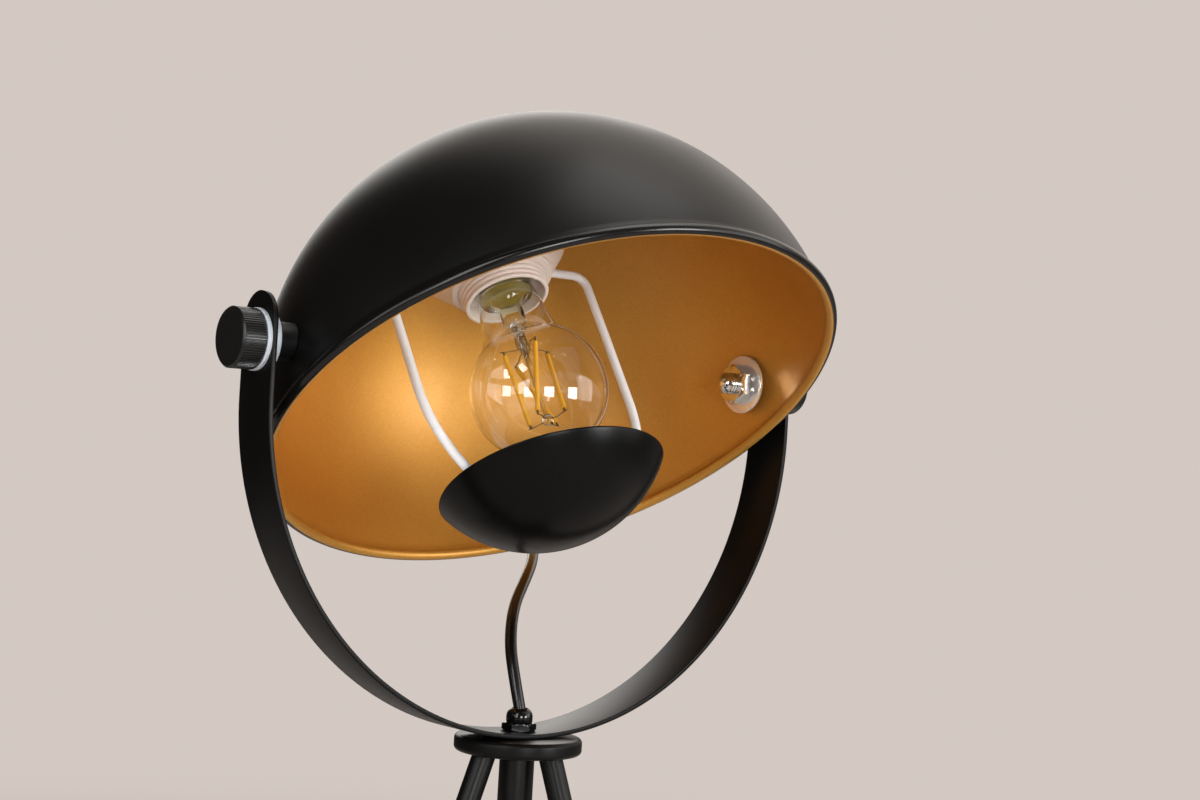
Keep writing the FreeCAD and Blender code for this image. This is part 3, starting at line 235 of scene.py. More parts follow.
def coatedFinish(name, first, second, grain, roughness, bump, patch, specular=0.5, **inputs):
    # Two close colours drift over patches, roughness drifts with them, and a fine grain lifts the surface.
    material, tree = newFinish(name)
    broad = addNode(tree, "TexNoise", Vector=objectPoint(tree, patch), Scale=1.0, Detail=3.0)
    fine = addNode(tree, "TexNoise", Vector=objectPoint(tree, grain), Scale=1.0, Detail=2.0)
    lift = addNode(tree, "Bump", Height=fine, Strength=bump, Distance=grain * mm * 0.25)
    shader = addNode(tree, "BsdfPrincipled", Base_Color=blendColours(tree, broad, first, second),
                     Roughness=between(tree, broad, roughness - 0.04, roughness + 0.04), Normal=lift, IOR=1.5,
                     Specular_IOR_Level=specular, **inputs)
    addNode(tree, "OutputMaterial", Surface=shader)
    return material


gold = {
    "first": "#C0832D", "second": "#DCA74A",
    "flake": 0.4,  # drawn coarser than real flakes so that they show
    "patch": 30, "metallic": 0.75, "roughness": (0.46, 0.56), "coat": 0.42, "coatRoughness": 0.34,
}


def goldFinish():
    # Metallic gold lacquer sprayed on steel: fine flakes that each catch the light a little differently,
    # under a satin binder.
    material, tree = newFinish("sprayedGoldLacquer")
    flakes = addNode(tree, "TexVoronoi", Vector=objectPoint(tree, gold["flake"]), Scale=1.0)
    broad = addNode(tree, "TexNoise", Vector=objectPoint(tree, gold["patch"]), Scale=1.0, Detail=2.0)
    tone = addNode(tree, "SeparateColor", Color=flakes.outputs["Color"])
    mixed = addNode(tree, "Math", {"operation": "MULTIPLY_ADD"}, _0=tone, _1=0.35,
                    _2=between(tree, broad, 0.2, 0.4))
    lift = addNode(tree, "Bump", Height=tone.outputs[1], Strength=0.08, Distance=gold["flake"] * mm * 0.2)
    shader = addNode(tree, "BsdfPrincipled", Metallic=gold["metallic"], Normal=lift,
                     Base_Color=blendColours(tree, mixed, gold["first"], gold["second"]),
                     Roughness=between(tree, tone.outputs[2], *gold["roughness"]),
                     Coat_Weight=gold["coat"], Coat_Roughness=gold["coatRoughness"])
    addNode(tree, "OutputMaterial", Surface=shader)
    return material


def platedFinish(name, first, second, roughness, metallic=1.0, lift=0.06):
    # Bright plating over turned metal: fine scratches and soft clouds in the gloss.
    material, tree = newFinish(name)
    clouds = addNode(tree, "TexNoise", Vector=objectPoint(tree, 4), Scale=1.0, Detail=3.0)
    scratches = addNode(tree, "TexNoise", Vector=objectPoint(tree, 0.35), Scale=1.0, Detail=2.0)
    relief = addNode(tree, "Bump", Height=scratches, Strength=lift, Distance=0.05 * mm)
    shader = addNode(tree, "BsdfPrincipled", Base_Color=blendColours(tree, clouds, first, second),
                     Roughness=between(tree, clouds, roughness - 0.05, roughness + 0.07), Metallic=metallic,
                     Normal=relief)
    addNode(tree, "OutputMaterial", Surface=shader)
    return material


def softPlastic(name, first, second, roughness, scatter, radius):
    # Moulded plastic that lets a little light in.
    return coatedFinish(name, first, second, 0.5, roughness, 0.05, 9, Subsurface_Weight=scatter,
                        Subsurface_Radius=radius, Subsurface_Scale=2 * mm)


def clearGlass(name, tint):
    # Blown or pressed glass, clear for shadows so that what stands behind it stays lit.
    material, tree = newFinish(name)
    wave = addNode(tree, "TexNoise", Vector=objectPoint(tree, 14), Scale=1.0, Detail=1.0)
    lift = addNode(tree, "Bump", Height=wave, Strength=0.1, Distance=0.1 * mm)
    glass = addNode(tree, "BsdfPrincipled", Base_Color=linear(tint), Roughness=0.0, IOR=1.5,
                    Transmission_Weight=1.0, Normal=lift)
    clear = addNode(tree, "BsdfTransparent", Color=linear("#FAFAF8"))
    path = addNode(tree, "LightPath")
    passing = addNode(tree, "Math", {"operation": "MAXIMUM"}, _0=path.outputs["Is Shadow Ray"],
                      _1=path.outputs["Is Diffuse Ray"])
    mix = addNode(tree, "MixShader", _0=passing, _1=glass, _2=clear)
    addNode(tree, "OutputMaterial", Surface=mix)
    return material


finish = {
    # a coated one takes two colours, grain, roughness, bump, patch and specular, with grain and patch in mm
    # powder coat baked on steel: satin, with a faint orange peel
    "blackCoat": coatedFinish("satinBlackPowderCoat", "#0A0A09", "#0E0D0D", 0.9, 0.36, 0.04, 40, 0.22),
    # the same coat on the small bowl with painted shade: its black made deeper and its gloss lower, for the
    # shadow it hangs in under the shade
    "bowlBlack": coatedFinish("blackPowderCoatWithPaintedShade", "#060606", "#090908", 0.9, 0.27, 0.04, 40, 0.13),
    # and on the strap and disc with painted shade: a touch darker and a little less glossy than on the shade,
    # for their darker look low under the lamp
    "strapBlack": coatedFinish("satinBlackCoatWithPaintedShadeOnStrap", "#080807", "#0C0B0B", 0.9, 0.36, 0.04, 40,
                               0.15),
    # the coat runs thicker and glossier round the rolled edge
    "rimBlack": coatedFinish("glossyBlackPowderCoat", "#0A0A09", "#0E0D0D", 0.9, 0.2, 0.03, 40, 0.4),
    "gold": goldFinish(),
    # white enamel dipped on wire: glossy and smooth
    "whiteWire": coatedFinish("whiteEnamelOnWire", "#F1F3F6", "#F9FAFC", 1.2, 0.32, 0.05, 6),
    # natural polyamide washers, pale and slightly see-through
    "nylon": softPlastic("naturalNylon", "#B4BCC6", "#C6CCD4", 0.4, 0.3, (1.0, 0.95, 0.9)),
    # injection-moulded thermoset, a warm pinkish beige
    "beige": softPlastic("mouldedBeigeThermoset", "#E6D8CF", "#EFE4DC", 0.38, 0.15, (1.0, 0.6, 0.4)),
    # black anodised aluminium, turned and knurled: a dull metal sheen
    "knobBlack": coatedFinish("blackAnodisedAluminium", "#0E0E0E", "#151515", 0.4, 0.3, 0.06, 8, 0.45),
    # plated washers and sleeves, bright enough to mirror the nuts
    "zinc": platedFinish("brightZincPlate", "#F4F2EE", "#E8E5E0", 0.07, metallic=0.7, lift=0.015),
    "chrome": platedFinish("polishedNickelPlate", "#EDECEA", "#DEDCD9", 0.12),
    "nickel": platedFinish("nickelPlatedShell", "#C9C4B4", "#B5AF9C", 0.22),
    "brass": platedFinish("plainBrass", "#C9A35A", "#B48D45", 0.3),
    # flexible vinyl sheath with a gloss from the die
    "cord": coatedFinish("blackPvcSheath", "#080808", "#0D0D0D", 0.6, 0.25, 0.012, 12, Coat_Weight=0.15,
                         Coat_Roughness=0.1),
    # glass-filled nylon, moulded glossy
    "glandBlack": coatedFinish("glossyBlackNylon", "#090909", "#0E0E0E", 0.5, 0.14, 0.04, 5),
    # spark-eroded mould, so a fine matt grain
    "plasticBlack": coatedFinish("mouldedBlackPlastic", "#0D0D0D", "#131313", 0.35, 0.42, 0.15, 8, 0.35),
    # moulded rubber feet, dull
    "rubber": coatedFinish("blackRubber", "#121211", "#1A1A19", 0.5, 0.7, 0.2, 6, Sheen_Weight=0.1),
    # fired and glazed, so smooth
    "ceramic": coatedFinish("glazedSteatite", "#E5E1D6", "#EFECE3", 0.6, 0.25, 0.05, 6),
    # baked cement, crumbly and olive under the glass
    "cement": coatedFinish("oliveCappingCement", "#65581A", "#A8943E", 0.7, 0.45, 0.4, 2.2),
    # silicone sheath, extruded
    "singleLead": coatedFinish("siliconeLead", "#7A2A1C", "#8B3323", 0.4, 0.45, 0.05, 4),
    # blown bulb glass, and the greener lead glass pressed for the stem
    "glass": clearGlass("clearSodaGlass", "#FFFFFF"),
    "stemGlass": clearGlass("stemLeadGlass", "#F2F4EA"),
    # phosphor mixed into cast silicone
    "phosphor": softPlastic("phosphorSilicone", "#FFB226", "#FFC440", 0.5, 0.12, (1.0, 0.7, 0.2)),
    # drawn copper-clad wire, dulled by the sealing flame
    "supportWire": platedFinish("dumetWire", "#6E6862", "#57504A", 0.35),
}
print("finishes made")


def frameAt(origin, axis, side=(1, 0, 0)):
    # a frame with Z along axis and X as near to side as it can be
    z = Vector(axis).normalized()
    x = Vector(side) - z * Vector(side).dot(z)
    x.normalize()
    turn = Matrix((x, z.cross(x), z)).transposed().to_4x4()
    return Matrix.Translation(Vector(origin)) @ turn


def filleted(corners, steps):
    # A path with round corners: a corner is (x, y) or (x, y, radius). Each round is an arc that touches both
    # sides: centre + radius * (cos, sin) over equal steps from one touching point to the other.
    rows = []
    count = len(corners)
    for index, corner in enumerate(corners):
        here = np.array(corner[:2], float)
        radius = corner[2] if len(corner) > 2 else 0
        if radius == 0:
            rows.append(here[None])
            continue
        before = np.array(corners[index - 1][:2], float) - here
        after = np.array(corners[(index + 1) % count][:2], float) - here
        before /= np.linalg.norm(before)
        after /= np.linalg.norm(after)
        half = math.acos(max(-1, min(1, float(before @ after)))) / 2
        centre = here + (before + after) / np.linalg.norm(before + after) * radius / math.sin(half)
        start = here + before * radius / math.tan(half) - centre
        end = here + after * radius / math.tan(half) - centre
        first = math.atan2(start[1], start[0])
        sweep = math.atan2(end[1], end[0]) - first
        sweep = (sweep + math.pi) % (2 * math.pi) - math.pi
        angles = first + sweep * np.linspace(0, 1, steps + 1)
        rows.append(centre + radius * np.stack([np.cos(angles), np.sin(angles)], 1))
    return np.concatenate(rows)


def fullTurn(count):
    # equal steps of angle round a circle, as a column
    return np.linspace(0, 2 * np.pi, count, endpoint=False)[:, None]


def roundZ(angle, radius, height):
    # point (angle, k): radius * (cos, sin) at a height
    return np.stack([np.cos(angle) * radius, np.sin(angle) * radius, height + 0 * angle], 2)


def smoothObject(name, shell, mesh, sharp):
    shell.to_mesh(mesh)
    shell.free()
    mesh.shade_smooth()
    mesh.set_sharp_from_angle(angle=math.radians(sharp))
    return newObject(name, mesh)


def gridObject(name, grid, wrapU, wrapV, sharp, material, bands=None):
    # Faces join point (i, j) to (i+1, j), (i+1, j+1) and (i, j+1); poles are merged into one point.
    # Bands give each column of faces the number of its finish.
    rows, columns = grid.shape[:2]
    i = np.arange(rows if wrapU else rows - 1)
    j = np.arange(columns if wrapV else columns - 1)
    i, j = np.meshgrid(i, j, indexing="ij")
    ahead = (i + 1) % rows
    up = (j + 1) % columns
    faces = np.stack([i * columns + j, ahead * columns + j, ahead * columns + up, i * columns + up], 2)
    mesh = bpy.data.meshes.new(name)
    mesh.from_pydata((grid.reshape(-1, 3) * mm).tolist(), [], faces.reshape(-1, 4).tolist())
    for one in [material] if isinstance(material, str) else material:
        mesh.materials.append(finish[one])
    if bands is not None:
        mesh.polygons.foreach_set("material_index", np.asarray(bands)[j].ravel().astype(np.int32))
    shell = bmesh.new()
    shell.from_mesh(mesh)
    bmesh.ops.remove_doubles(shell, verts=shell.verts, dist=1e-6)
    bmesh.ops.recalc_face_normals(shell, faces=shell.faces)
    return smoothObject(name, shell, mesh, sharp)


def lathe(name, profile, place, material, segments, closed, sharp, bands=None):
    # Point (angle, k) is the profile's k-th (radius, height) turned by angle about Z.
    radius, height = np.asarray(profile, float).T[:, None]
    grid = roundZ(fullTurn(segments), radius, height)
    return gridObject(name, placed(grid, place), True, closed, sharp, material, bands)


def placed(grid, place):
    # grid in millimetres in its own frame, put into the lamp's frame, still in millimetres
    return grid @ np.array(place.to_3x3()).T + np.array(place.translation) / mm


def tubeAlong(name, points, radius, side, material, segments=24):
    # Point (i, angle): path point + radius * (cos * normal + sin * binormal). The normal is the tangent
    # crossed with a side direction that the path never runs along. The ends are closed by shrinking rings.
    points = np.asarray(points, float)
    tangent = np.gradient(points, axis=0)
    tangent /= np.linalg.norm(tangent, axis=1)[:, None]
    normal = np.cross(tangent, np.asarray(side, float))
    normal /= np.linalg.norm(normal, axis=1)[:, None]
    binormal = np.cross(tangent, normal)
    angle = fullTurn(segments)
    ring = np.cos(angle) * normal[:, None] + np.sin(angle) * binormal[:, None]
    grid = points[:, None] + radius * ring
    start = np.repeat(points[:1, None], segments, 1)
    end = np.repeat(points[-1:, None], segments, 1)
    grid = np.concatenate([start, grid, end])
    return gridObject(name, grid, False, True, 50, material)


def hexNut(name, across, thick, bore, chamfer, place, material):
    # Radius at (angle, height): the flat of the hexagon, across / 2 / cos(angle from the flat), cut by a
    # cone near both faces.
    angle = fullTurn(180)
    fromFlat = (angle + np.pi / 6) % (np.pi / 3) - np.pi / 6
    flat = across / 2 / np.cos(fromFlat)
    height = np.linspace(0, thick, 13)
    cone = across / 2 + chamfer * 0.2 + np.minimum(height, thick - height) * 1.7
    inner = np.full_like(angle, bore)
    radius = np.concatenate([inner, np.minimum(flat, cone), inner], 1)
    grid = roundZ(angle, radius, np.concatenate([[0], height, [thick]]))
    return gridObject(name, placed(grid, place), True, True, 28, material)


def join(name, parts):
    # several meshes as one piece
    shell = bmesh.new()
    mesh = bpy.data.meshes.new(name)
    for part in parts:
        shell.from_mesh(part.data)
    for material in parts[0].data.materials:
        mesh.materials.append(material)
    for part in parts:
        bpy.data.objects.remove(part)
    return smoothObject(name, shell, mesh, 32)


def settle(piece, body, nodes):
    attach(piece, body)
    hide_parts(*nodes)


def shift(x, y, z):
    return Matrix.Translation(Vector((x, y, z)) * mm)


def onShade(height, side=0):
    # a frame on the axis of the shade, height and side in millimetres
    return frameAt(pivot, shadeAxis) @ shift(0, side, height)


hanger = {"side": -3.4, "back": 2.6}  # the lampholder hangs a little beside the axis of the shade


def onHanger(height, side=0):
    # a frame on the axis of the lampholder, bulb and bowl, which is parallel to that of the shade
    return onShade(height, hanger["back"] + side) @ shift(hanger["side"], 0, 0)


def alongPivot(sign, distance):
    # a frame whose Z runs outwards along the tilt axis
    return frameAt(pivot + Vector((sign * distance * mm, 0, 0)), (sign, 0, 0), (0, 0, -sign))


cords = {
    "diameter": 5.2,
    "head": [
        (0, 91.3, 462.2), (0, 106, 475), (7, 130, 480), (22, 152, 462), (40, 163, 430), (58, 163, 392),
        (74, 153, 356), (84, 133, 331), (78, 103, 323), (55, 71, 312), (32, 45, 304.5), (13, 27, 294),
        (2, 13, 279), (-1.5, 3, 264.5), (0, 0, 252),
    ],
    "bendFrom": (84, 133, 331), "bendTo": (0, 0, 264),  # points on the head cable's route, at its outer loop and just above the gland
    "stem": [
        (0, 0, 138), (0.5, 1, 116), (2.5, 5, 90), (7, 13, 61), (12.5, 25, 34), (18, 41, 15), (21.5, 54, 9.6),
        (22, 64, 9),
    ],
    "throughSwitch": [(22, 84, 9), (22, 104, 9), (22, 124, 9), (22, 144, 9)],
    "middle": [(22, 164, 9), (21.5, 176, 7.6), (13, 189, 4.6), (-6, 195.5, 3.6), (-27, 194.4, 3.6)],
    "plug": [(-78.6, 158, 8.7), (-79, 147, 8.4), (-81.6, 131, 7.6), (-83.7, 119, 7.0), (-84, 110, 6.85),
             (-84, 92, 6.85)],
    "coilMiddle": (-45, 160),
    "coilSlots": [(33.2, 3.6), (28, 3.5), (22.8, 3.5), (22.9, 8.7), (23, 13.7), (28.1, 13.7), (28, 8.7),
                  (33.2, 8.7), (33.2, 8.7)],
    "coilTurns": 8.25, "coilStep": 0.22,  # the part of a turn in which it steps over
    "coilSwell": 1.008,  # the smooth line runs a little inside its points
    "mainsLength": 1.83,
}


def routeCurve(name, points, bevel=0.0):
    curve = bpy.data.curves.new(name, "CURVE")
    curve.dimensions = "3D"
    spline = curve.splines.new("NURBS")
    spline.points.add(len(points) - 1)
    flat = np.ones((len(points), 4))
    flat[:, :3] = np.asarray(points, float) * mm
    spline.points.foreach_set("co", flat.ravel())
    spline.order_u = 3
    spline.use_endpoint_u = True
    spline.resolution_u = 6
    curve.bevel_depth = bevel
    curve.bevel_resolution = 6
    curve.use_fill_caps = True
    return newObject(name, curve)


def splinePoints(points):
    # the smooth line of a route, in millimetres, as the curve itself gives it
    helper = routeCurve("routeLine", points)
    bpy.context.view_layer.update()
    mesh = bpy.data.meshes.new_from_object(helper)
    line = np.zeros(len(mesh.vertices) * 3)
    mesh.vertices.foreach_get("co", line)
    bpy.data.objects.remove(helper)
    bpy.data.meshes.remove(mesh)
    return line.reshape(-1, 3) / mm


def makeHeadCable():
    line = splinePoints(cords["head"])
    cable = tubeAlong("headCable", line, cords["diameter"] / 2, (1, 0.02, 0.05), "cord")
    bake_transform(cable)
    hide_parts("head_cable")


def coilPoints():
    # Each turn keeps to its own slot (radius, height) and steps over to the next slot in its last part, as
    # t * t * (3 - 2 * t).
    turn = np.linspace(0, cords["coilTurns"], int(cords["coilTurns"] * 18) + 1)[1:-1]
    slots = np.array(cords["coilSlots"])
    index = np.minimum(turn.astype(int), len(slots) - 2)
    step = np.clip((turn - index - 1) / cords["coilStep"] + 1, 0, 1)
    step = (step * step * (3 - 2 * step))[:, None]
    slot = slots[index] * (1 - step) + slots[index + 1] * step
    angle = np.pi / 2 + 2 * np.pi * turn
    radius = slot[:, 0] * cords["coilSwell"]
    x = cords["coilMiddle"][0] + radius * np.cos(angle)
    y = cords["coilMiddle"][1] + radius * np.sin(angle)
    return np.stack([x, y, slot[:, 1]], 1).tolist()


def makeMainsLead():
    route = cords["stem"] + cords["throughSwitch"] + cords["middle"] + coilPoints() + cords["plug"]
    lead = routeCurve("mainsLead", route, cords["diameter"] / 2 * mm)
    lead.data.materials.append(finish["cord"])
    settle(lead, "stand", ["stem_lead", "middle_lead", "plug_lead", "cord_coil", "lead_ends"])
    line = splinePoints(route)
    print("mains lead %.3f m" % (np.linalg.norm(np.diff(line, axis=0), axis=1).sum() * mm))


makeHeadCable()
makeMainsLead()
print("cords made")


shade = {
    "radius": 124.5, "wall": 1.0, "drop": 20.5, "rimDrop": 1.8,
    "beadRadius": 2.4, "beadOut": 0.5, "roll": (98, -226),  # degrees round the bead
    "goldFrom": -92,  # degrees round the bead where the black paint ends
    "wallEnds": (2.5, 2.0),  # above the bead's middle, outside and inside
    "apexHole": 5.05, "apexWithin": 30.0, "apexAbove": 50.0,  # where the rings move over to the hole
}


def arc(centre, radius, start, end, steps):
    angle = np.radians(np.linspace(start, end, steps + 1))
    return np.stack([centre[0] + radius * np.cos(angle), centre[1] + radius * np.sin(angle)], 1)


def makeShade():
    # A sphere's arc outside, the rolled bead, and the inner sphere's arc back up, turned about the axis.
    # Near the top the rings move over to the hole of the support tube and keep to their sphere. The bands
    # are black outside, glossier black on the roll and gold inside.
    outer, wall = shade["radius"], shade["wall"]
    inner = outer - wall
    bead = (outer + shade["beadOut"], -shade["rimDrop"])
    (first, last), steps = shade["roll"], 40
    top = math.degrees(math.acos(shade["apexHole"] / outer))
    outerEnd, innerEnd = [math.degrees(math.asin((bead[1] + up) / radius))
                          for up, radius in zip(shade["wallEnds"], (outer, inner))]
    outside = arc((0, 0), outer, top, outerEnd, 60)
    roll = arc(bead, shade["beadRadius"], first, last, steps)
    inside = arc((0, 0), inner, innerEnd, top, 60)
    profile = np.concatenate([outside, roll, inside])
    blackUntil = len(outside) + int(steps * (first - shade["goldFrom"]) / (first - last))
    bands = np.where(np.arange(len(profile)) >= blackUntil, 1, 2)
    bands[:len(outside)] = 0
    bands[-1] = 0
    angle = fullTurn(256)
    radius, height = profile.T[:, None]
    share = np.clip((shade["apexWithin"] - radius) / (shade["apexWithin"] - shade["apexHole"]), 0, 1)
    share = share * (height > shade["apexAbove"])
    x = np.cos(angle) * radius + hanger["side"] * share
    y = np.sin(angle) * radius + hanger["back"] * share
    lift = np.where(share > 0, np.sqrt(np.maximum(radius ** 2 + height ** 2 - x ** 2 - y ** 2, 0)), height)
    grid = placed(np.stack([x, y, lift], 2), onShade(-shade["drop"]))
    shell = gridObject("shadeShell", grid, True, True, 60, ["blackCoat", "gold", "rimBlack"], bands)
    settle(shell, "shade", ["shade_shell"])


makeShade()
print("shade made")


yoke = {"outer": 137.0, "thick": 2.0, "width": 25.0, "drop": 22.0, "rise": 6.8, "edge": 0.45}


def makeYoke():
    # Path point + across * Y + thickness * the path's normal. The half width is that of a round end past
    # the tilt axis, and the section's corners are small arcs.
    middle = yoke["outer"] - yoke["thick"] / 2
    half = yoke["width"] / 2
    centre = pivot.z / mm - yoke["drop"]
    tip = np.linspace(0, np.pi / 2, 16)
    armTop = pivot.z / mm + yoke["rise"]
    tipHeight = armTop + half * np.cos(tip)
    tipWidth = half * np.sin(tip)
    arm = np.linspace(armTop, centre, 6)[1:-1]
    turn = np.radians(np.linspace(180, 360, 121))
    armHeight = np.concatenate([tipHeight, arm])
    armWidth = np.concatenate([tipWidth, np.full(len(arm), half)])
    sides = np.full(len(armHeight), middle)
    x = np.concatenate([-sides, middle * np.cos(turn), sides])
    z = np.concatenate([armHeight, centre + middle * np.sin(turn), armHeight[::-1]])
    width = np.concatenate([armWidth, np.full(len(turn), half), armWidth[::-1]])
    normal = np.stack([x, np.minimum(z - centre, 0)], 1)
    normal /= np.linalg.norm(normal, axis=1)[:, None]
    corner = np.radians(np.array([0, 30, 60, 90]))
    quarters = np.concatenate([corner + k * np.pi / 2 for k in range(4)])
    signAcross = np.repeat([1, -1, -1, 1], 4)
    signOut = np.repeat([1, 1, -1, -1], 4)
    edge = np.minimum(yoke["edge"], width)[:, None]
    across = signAcross * (width[:, None] - edge) + edge * np.cos(quarters)
    out = signOut * (yoke["thick"] / 2 - yoke["edge"]) + yoke["edge"] * np.sin(quarters)
    grid = np.stack([x[:, None] + normal[:, :1] * out, across, z[:, None] + normal[:, 1:] * out], 2)
    # the strap gets the coat darkened as painted shade
    strap = gridObject("yokeStrap", grid, False, True, 40, "strapBlack")
    settle(strap, "stand", ["yoke_strap"])


makeYoke()
print("yoke made")


pivots = {
    "bore": 5.1,  # of all that the stud runs through
    "washer": {"radius": 12.4, "thick": 2.0},
    "knob": {"radius": 12.1, "length": 10.4, "chamfer": 0.8, "flutes": 72, "depth": 0.5},
    "bush": {"radius": 7.7},
    "zinc": {"radius": 13.5, "thick": 1.5, "top": 118.6},
    "nut": {"across": 16.0, "thick": 6.5, "chamfer": 0.8, "turn": 30},
    "stud": {"radius": 5.0, "tip": 104.0, "inKnob": 7.5, "dome": 6.2, "threaded": (3.4, 13.9), "thread": 1.5,
             "threadDepth": 0.35},
}


def washer(radius, thick, edge, place, material):
    bore = pivots["bore"]
    profile = filleted([(bore, 0, edge), (radius, 0, edge), (radius, thick, edge), (bore, thick, edge)], 4)
    return lathe(material, profile, place, material, 96, True, 60)


def makeKnob(name, sign):
    # Radius at (angle, height): the outline's radius less a rounded groove that repeats with the flutes and
    # runs out at both chamfers.
    size = pivots["knob"]
    foot = yoke["outer"] + pivots["washer"]["thick"]
    length, radius, chamfer = size["length"], size["radius"], size["chamfer"]
    outline = np.array([
        (pivots["bore"], 0), (radius - 0.9, 0), (radius - 0.4, 0.12), (radius, 0.5), (radius, 0.7),
        (radius, 1.0), (radius, length - 1.3), (radius, length - 1.0), (radius, length - chamfer),
        (radius - chamfer * 0.5, length - chamfer * 0.45), (radius - chamfer, length - 0.05),
        (radius - chamfer - 0.15, length), (8, length), (4, length), (0, length)], float)
    carved = np.zeros(len(outline))
    carved[4:8] = 0.5, 1, 1, 0.5
    angle = fullTurn(size["flutes"] * 10)
    groove = np.clip(np.cos(size["flutes"] * angle) * 1.3 - 0.1, 0, 1) ** 0.8
    grid = roundZ(angle, outline[:, 0] - size["depth"] * groove * carved, outline[:, 1])
    return gridObject(name, placed(grid, alongPivot(sign, foot)), True, False, 35, "knobBlack")


def makeBush(sign):
    # A tube whose inner end follows the dome: there its distance from the middle is that of the sphere at
    # the same height and depth.
    full = pivots["bush"]["radius"]
    outer = yoke["outer"] - yoke["thick"] - pivots["washer"]["thick"]
    ball = onShade(-shade["drop"]).translation / mm
    angle = fullTurn(72)
    radius = np.array([5.2, full - 0.4, full, full, full, full - 0.4, 5.2])
    y = np.cos(angle) * radius
    z = np.sin(angle) * radius + pivot.z / mm
    reach = np.sqrt(shade["radius"] ** 2 - (y - ball.y) ** 2 - (z - ball.z) ** 2)
    share = np.array([0, 0, 0.04, 0.5, 0.96, 1, 1])
    x = sign * (reach * (1 - share) + outer * share)
    return gridObject("bush", np.stack([x, y, z], 2), True, True, 40, "plasticBlack")


def pivotParts(sign):
    # Two nylon washers, bush, stud, zinc washer and nut of one side. The stud's tail has a domed end and a
    # cosine thread: radius - depth * (0.5 - 0.5 * cos(2 * pi * height / pitch)).
    size, zinc, nut, stud = pivots["washer"], pivots["zinc"], pivots["nut"], pivots["stud"]
    nylon = [washer(size["radius"], size["thick"], 0.35, alongPivot(sign, foot), "nylon")
             for foot in (yoke["outer"], yoke["outer"] - yoke["thick"] - size["thick"])]
    zincFoot = zinc["top"] - zinc["thick"]
    plate = washer(zinc["radius"], zinc["thick"], 0.4, alongPivot(sign, zincFoot), "zinc")
    turned = alongPivot(sign, zincFoot - nut["thick"]) @ Matrix.Rotation(math.radians(nut["turn"]), 4, "Z")
    hexagon = hexNut("nut", nut["across"], nut["thick"], pivots["bore"], nut["chamfer"], turned, "chrome")
    length = yoke["outer"] + size["thick"] + stud["inKnob"] - stud["tip"]
    along = np.linspace(*stud["threaded"], 85)
    wave = 0.5 - 0.5 * np.cos(2 * np.pi * (along - along[0]) / stud["thread"])
    tail = np.concatenate([arc((0, stud["dome"]), stud["dome"], -90, -36, 8),
                           np.stack([stud["radius"] - stud["threadDepth"] * wave, along], 1),
                           [(stud["radius"], length), (0, length)]])
    tail = lathe("stud", tail, alongPivot(sign, stud["tip"]), "chrome", 64, False, 40)
    return [*nylon, makeBush(sign), tail, plate, hexagon]


def makePivots():
    for side, sign in (("left", -1), ("right", 1)):
        settle(makeKnob("knob" + side.capitalize(), sign), "knob_" + side, ["knob_" + side])
    kinds = (("outerWashers", "stand", "outer_washers", "nylon"),
             ("innerWashers", "stand", "inner_washers", "nylon"),
             ("spacerBushes", "shade", "spacer_bushes", "black_plastic"),
             ("pivotStuds", "shade", "pivot_studs", "zinc"),
             ("zincWashers", "shade", "zinc_washers", "zinc"),
             ("hexNuts", "shade", "hex_nuts", "zinc"))
    for (name, body, node, slot), pair in zip(kinds, zip(pivotParts(-1), pivotParts(1))):
        settle(join(name, pair), body, [node])


makePivots()
print("pivots made")


wire = {"radius": 2.0, "spread": 56.7, "shelf": 61.4, "side": 7.2, "bend": 6.5, "turn": 8.7, "depth": 66.7,
        "base": 42.0, "inside": 22.9}
bowl = {"radius": 58.0, "wall": 1.0, "rim": 48.9, "tilt": 4.1, "side": 8.0, "drop": 20.4}


def makeWireFrame():
    # Shelf, bend, straight leg, side arc and base arc on one side, and the same mirrored on the other.
    spread, base, bend = wire["spread"], wire["base"], wire["bend"]
    depth, turn = wire["depth"], -wire["turn"]
    large = (spread ** 2 + (depth - base) ** 2 - base ** 2) / (2 * (spread - base))
    sideCentre = (spread - large, turn)
    baseCentre = (0, turn - depth + base)
    meet = math.degrees(math.atan2(baseCentre[1] - sideCentre[1], -sideCentre[0]))
    shelf = np.stack([np.linspace(wire["inside"], spread - bend, 10), np.full(10, wire["shelf"])], 1)[:-1]
    corner = arc((spread - bend, wire["shelf"] - bend), bend, 90, 0, 10)
    leg = np.stack([np.full(10, spread), np.linspace(wire["shelf"] - bend, turn, 10)], 1)[1:-1]
    sideArc = arc(sideCentre, large, 0, meet, 30)
    baseArc = arc(baseCentre, base, meet, -90, 24)[1:]
    right = np.concatenate([shelf, corner, leg, sideArc, baseArc])
    left = right[-2::-1] * np.array([-1, 1])
    path = np.concatenate([right, left])
    points = placed(np.insert(path, 1, wire["side"], axis=1), onHanger(0))
    side = onHanger(0).to_3x3() @ Vector((0, 1, 0))
    frameTube = tubeAlong("wireFrame", points, wire["radius"], side, "whiteWire", 20)
    settle(frameTube, "shade", ["wire_frame"])


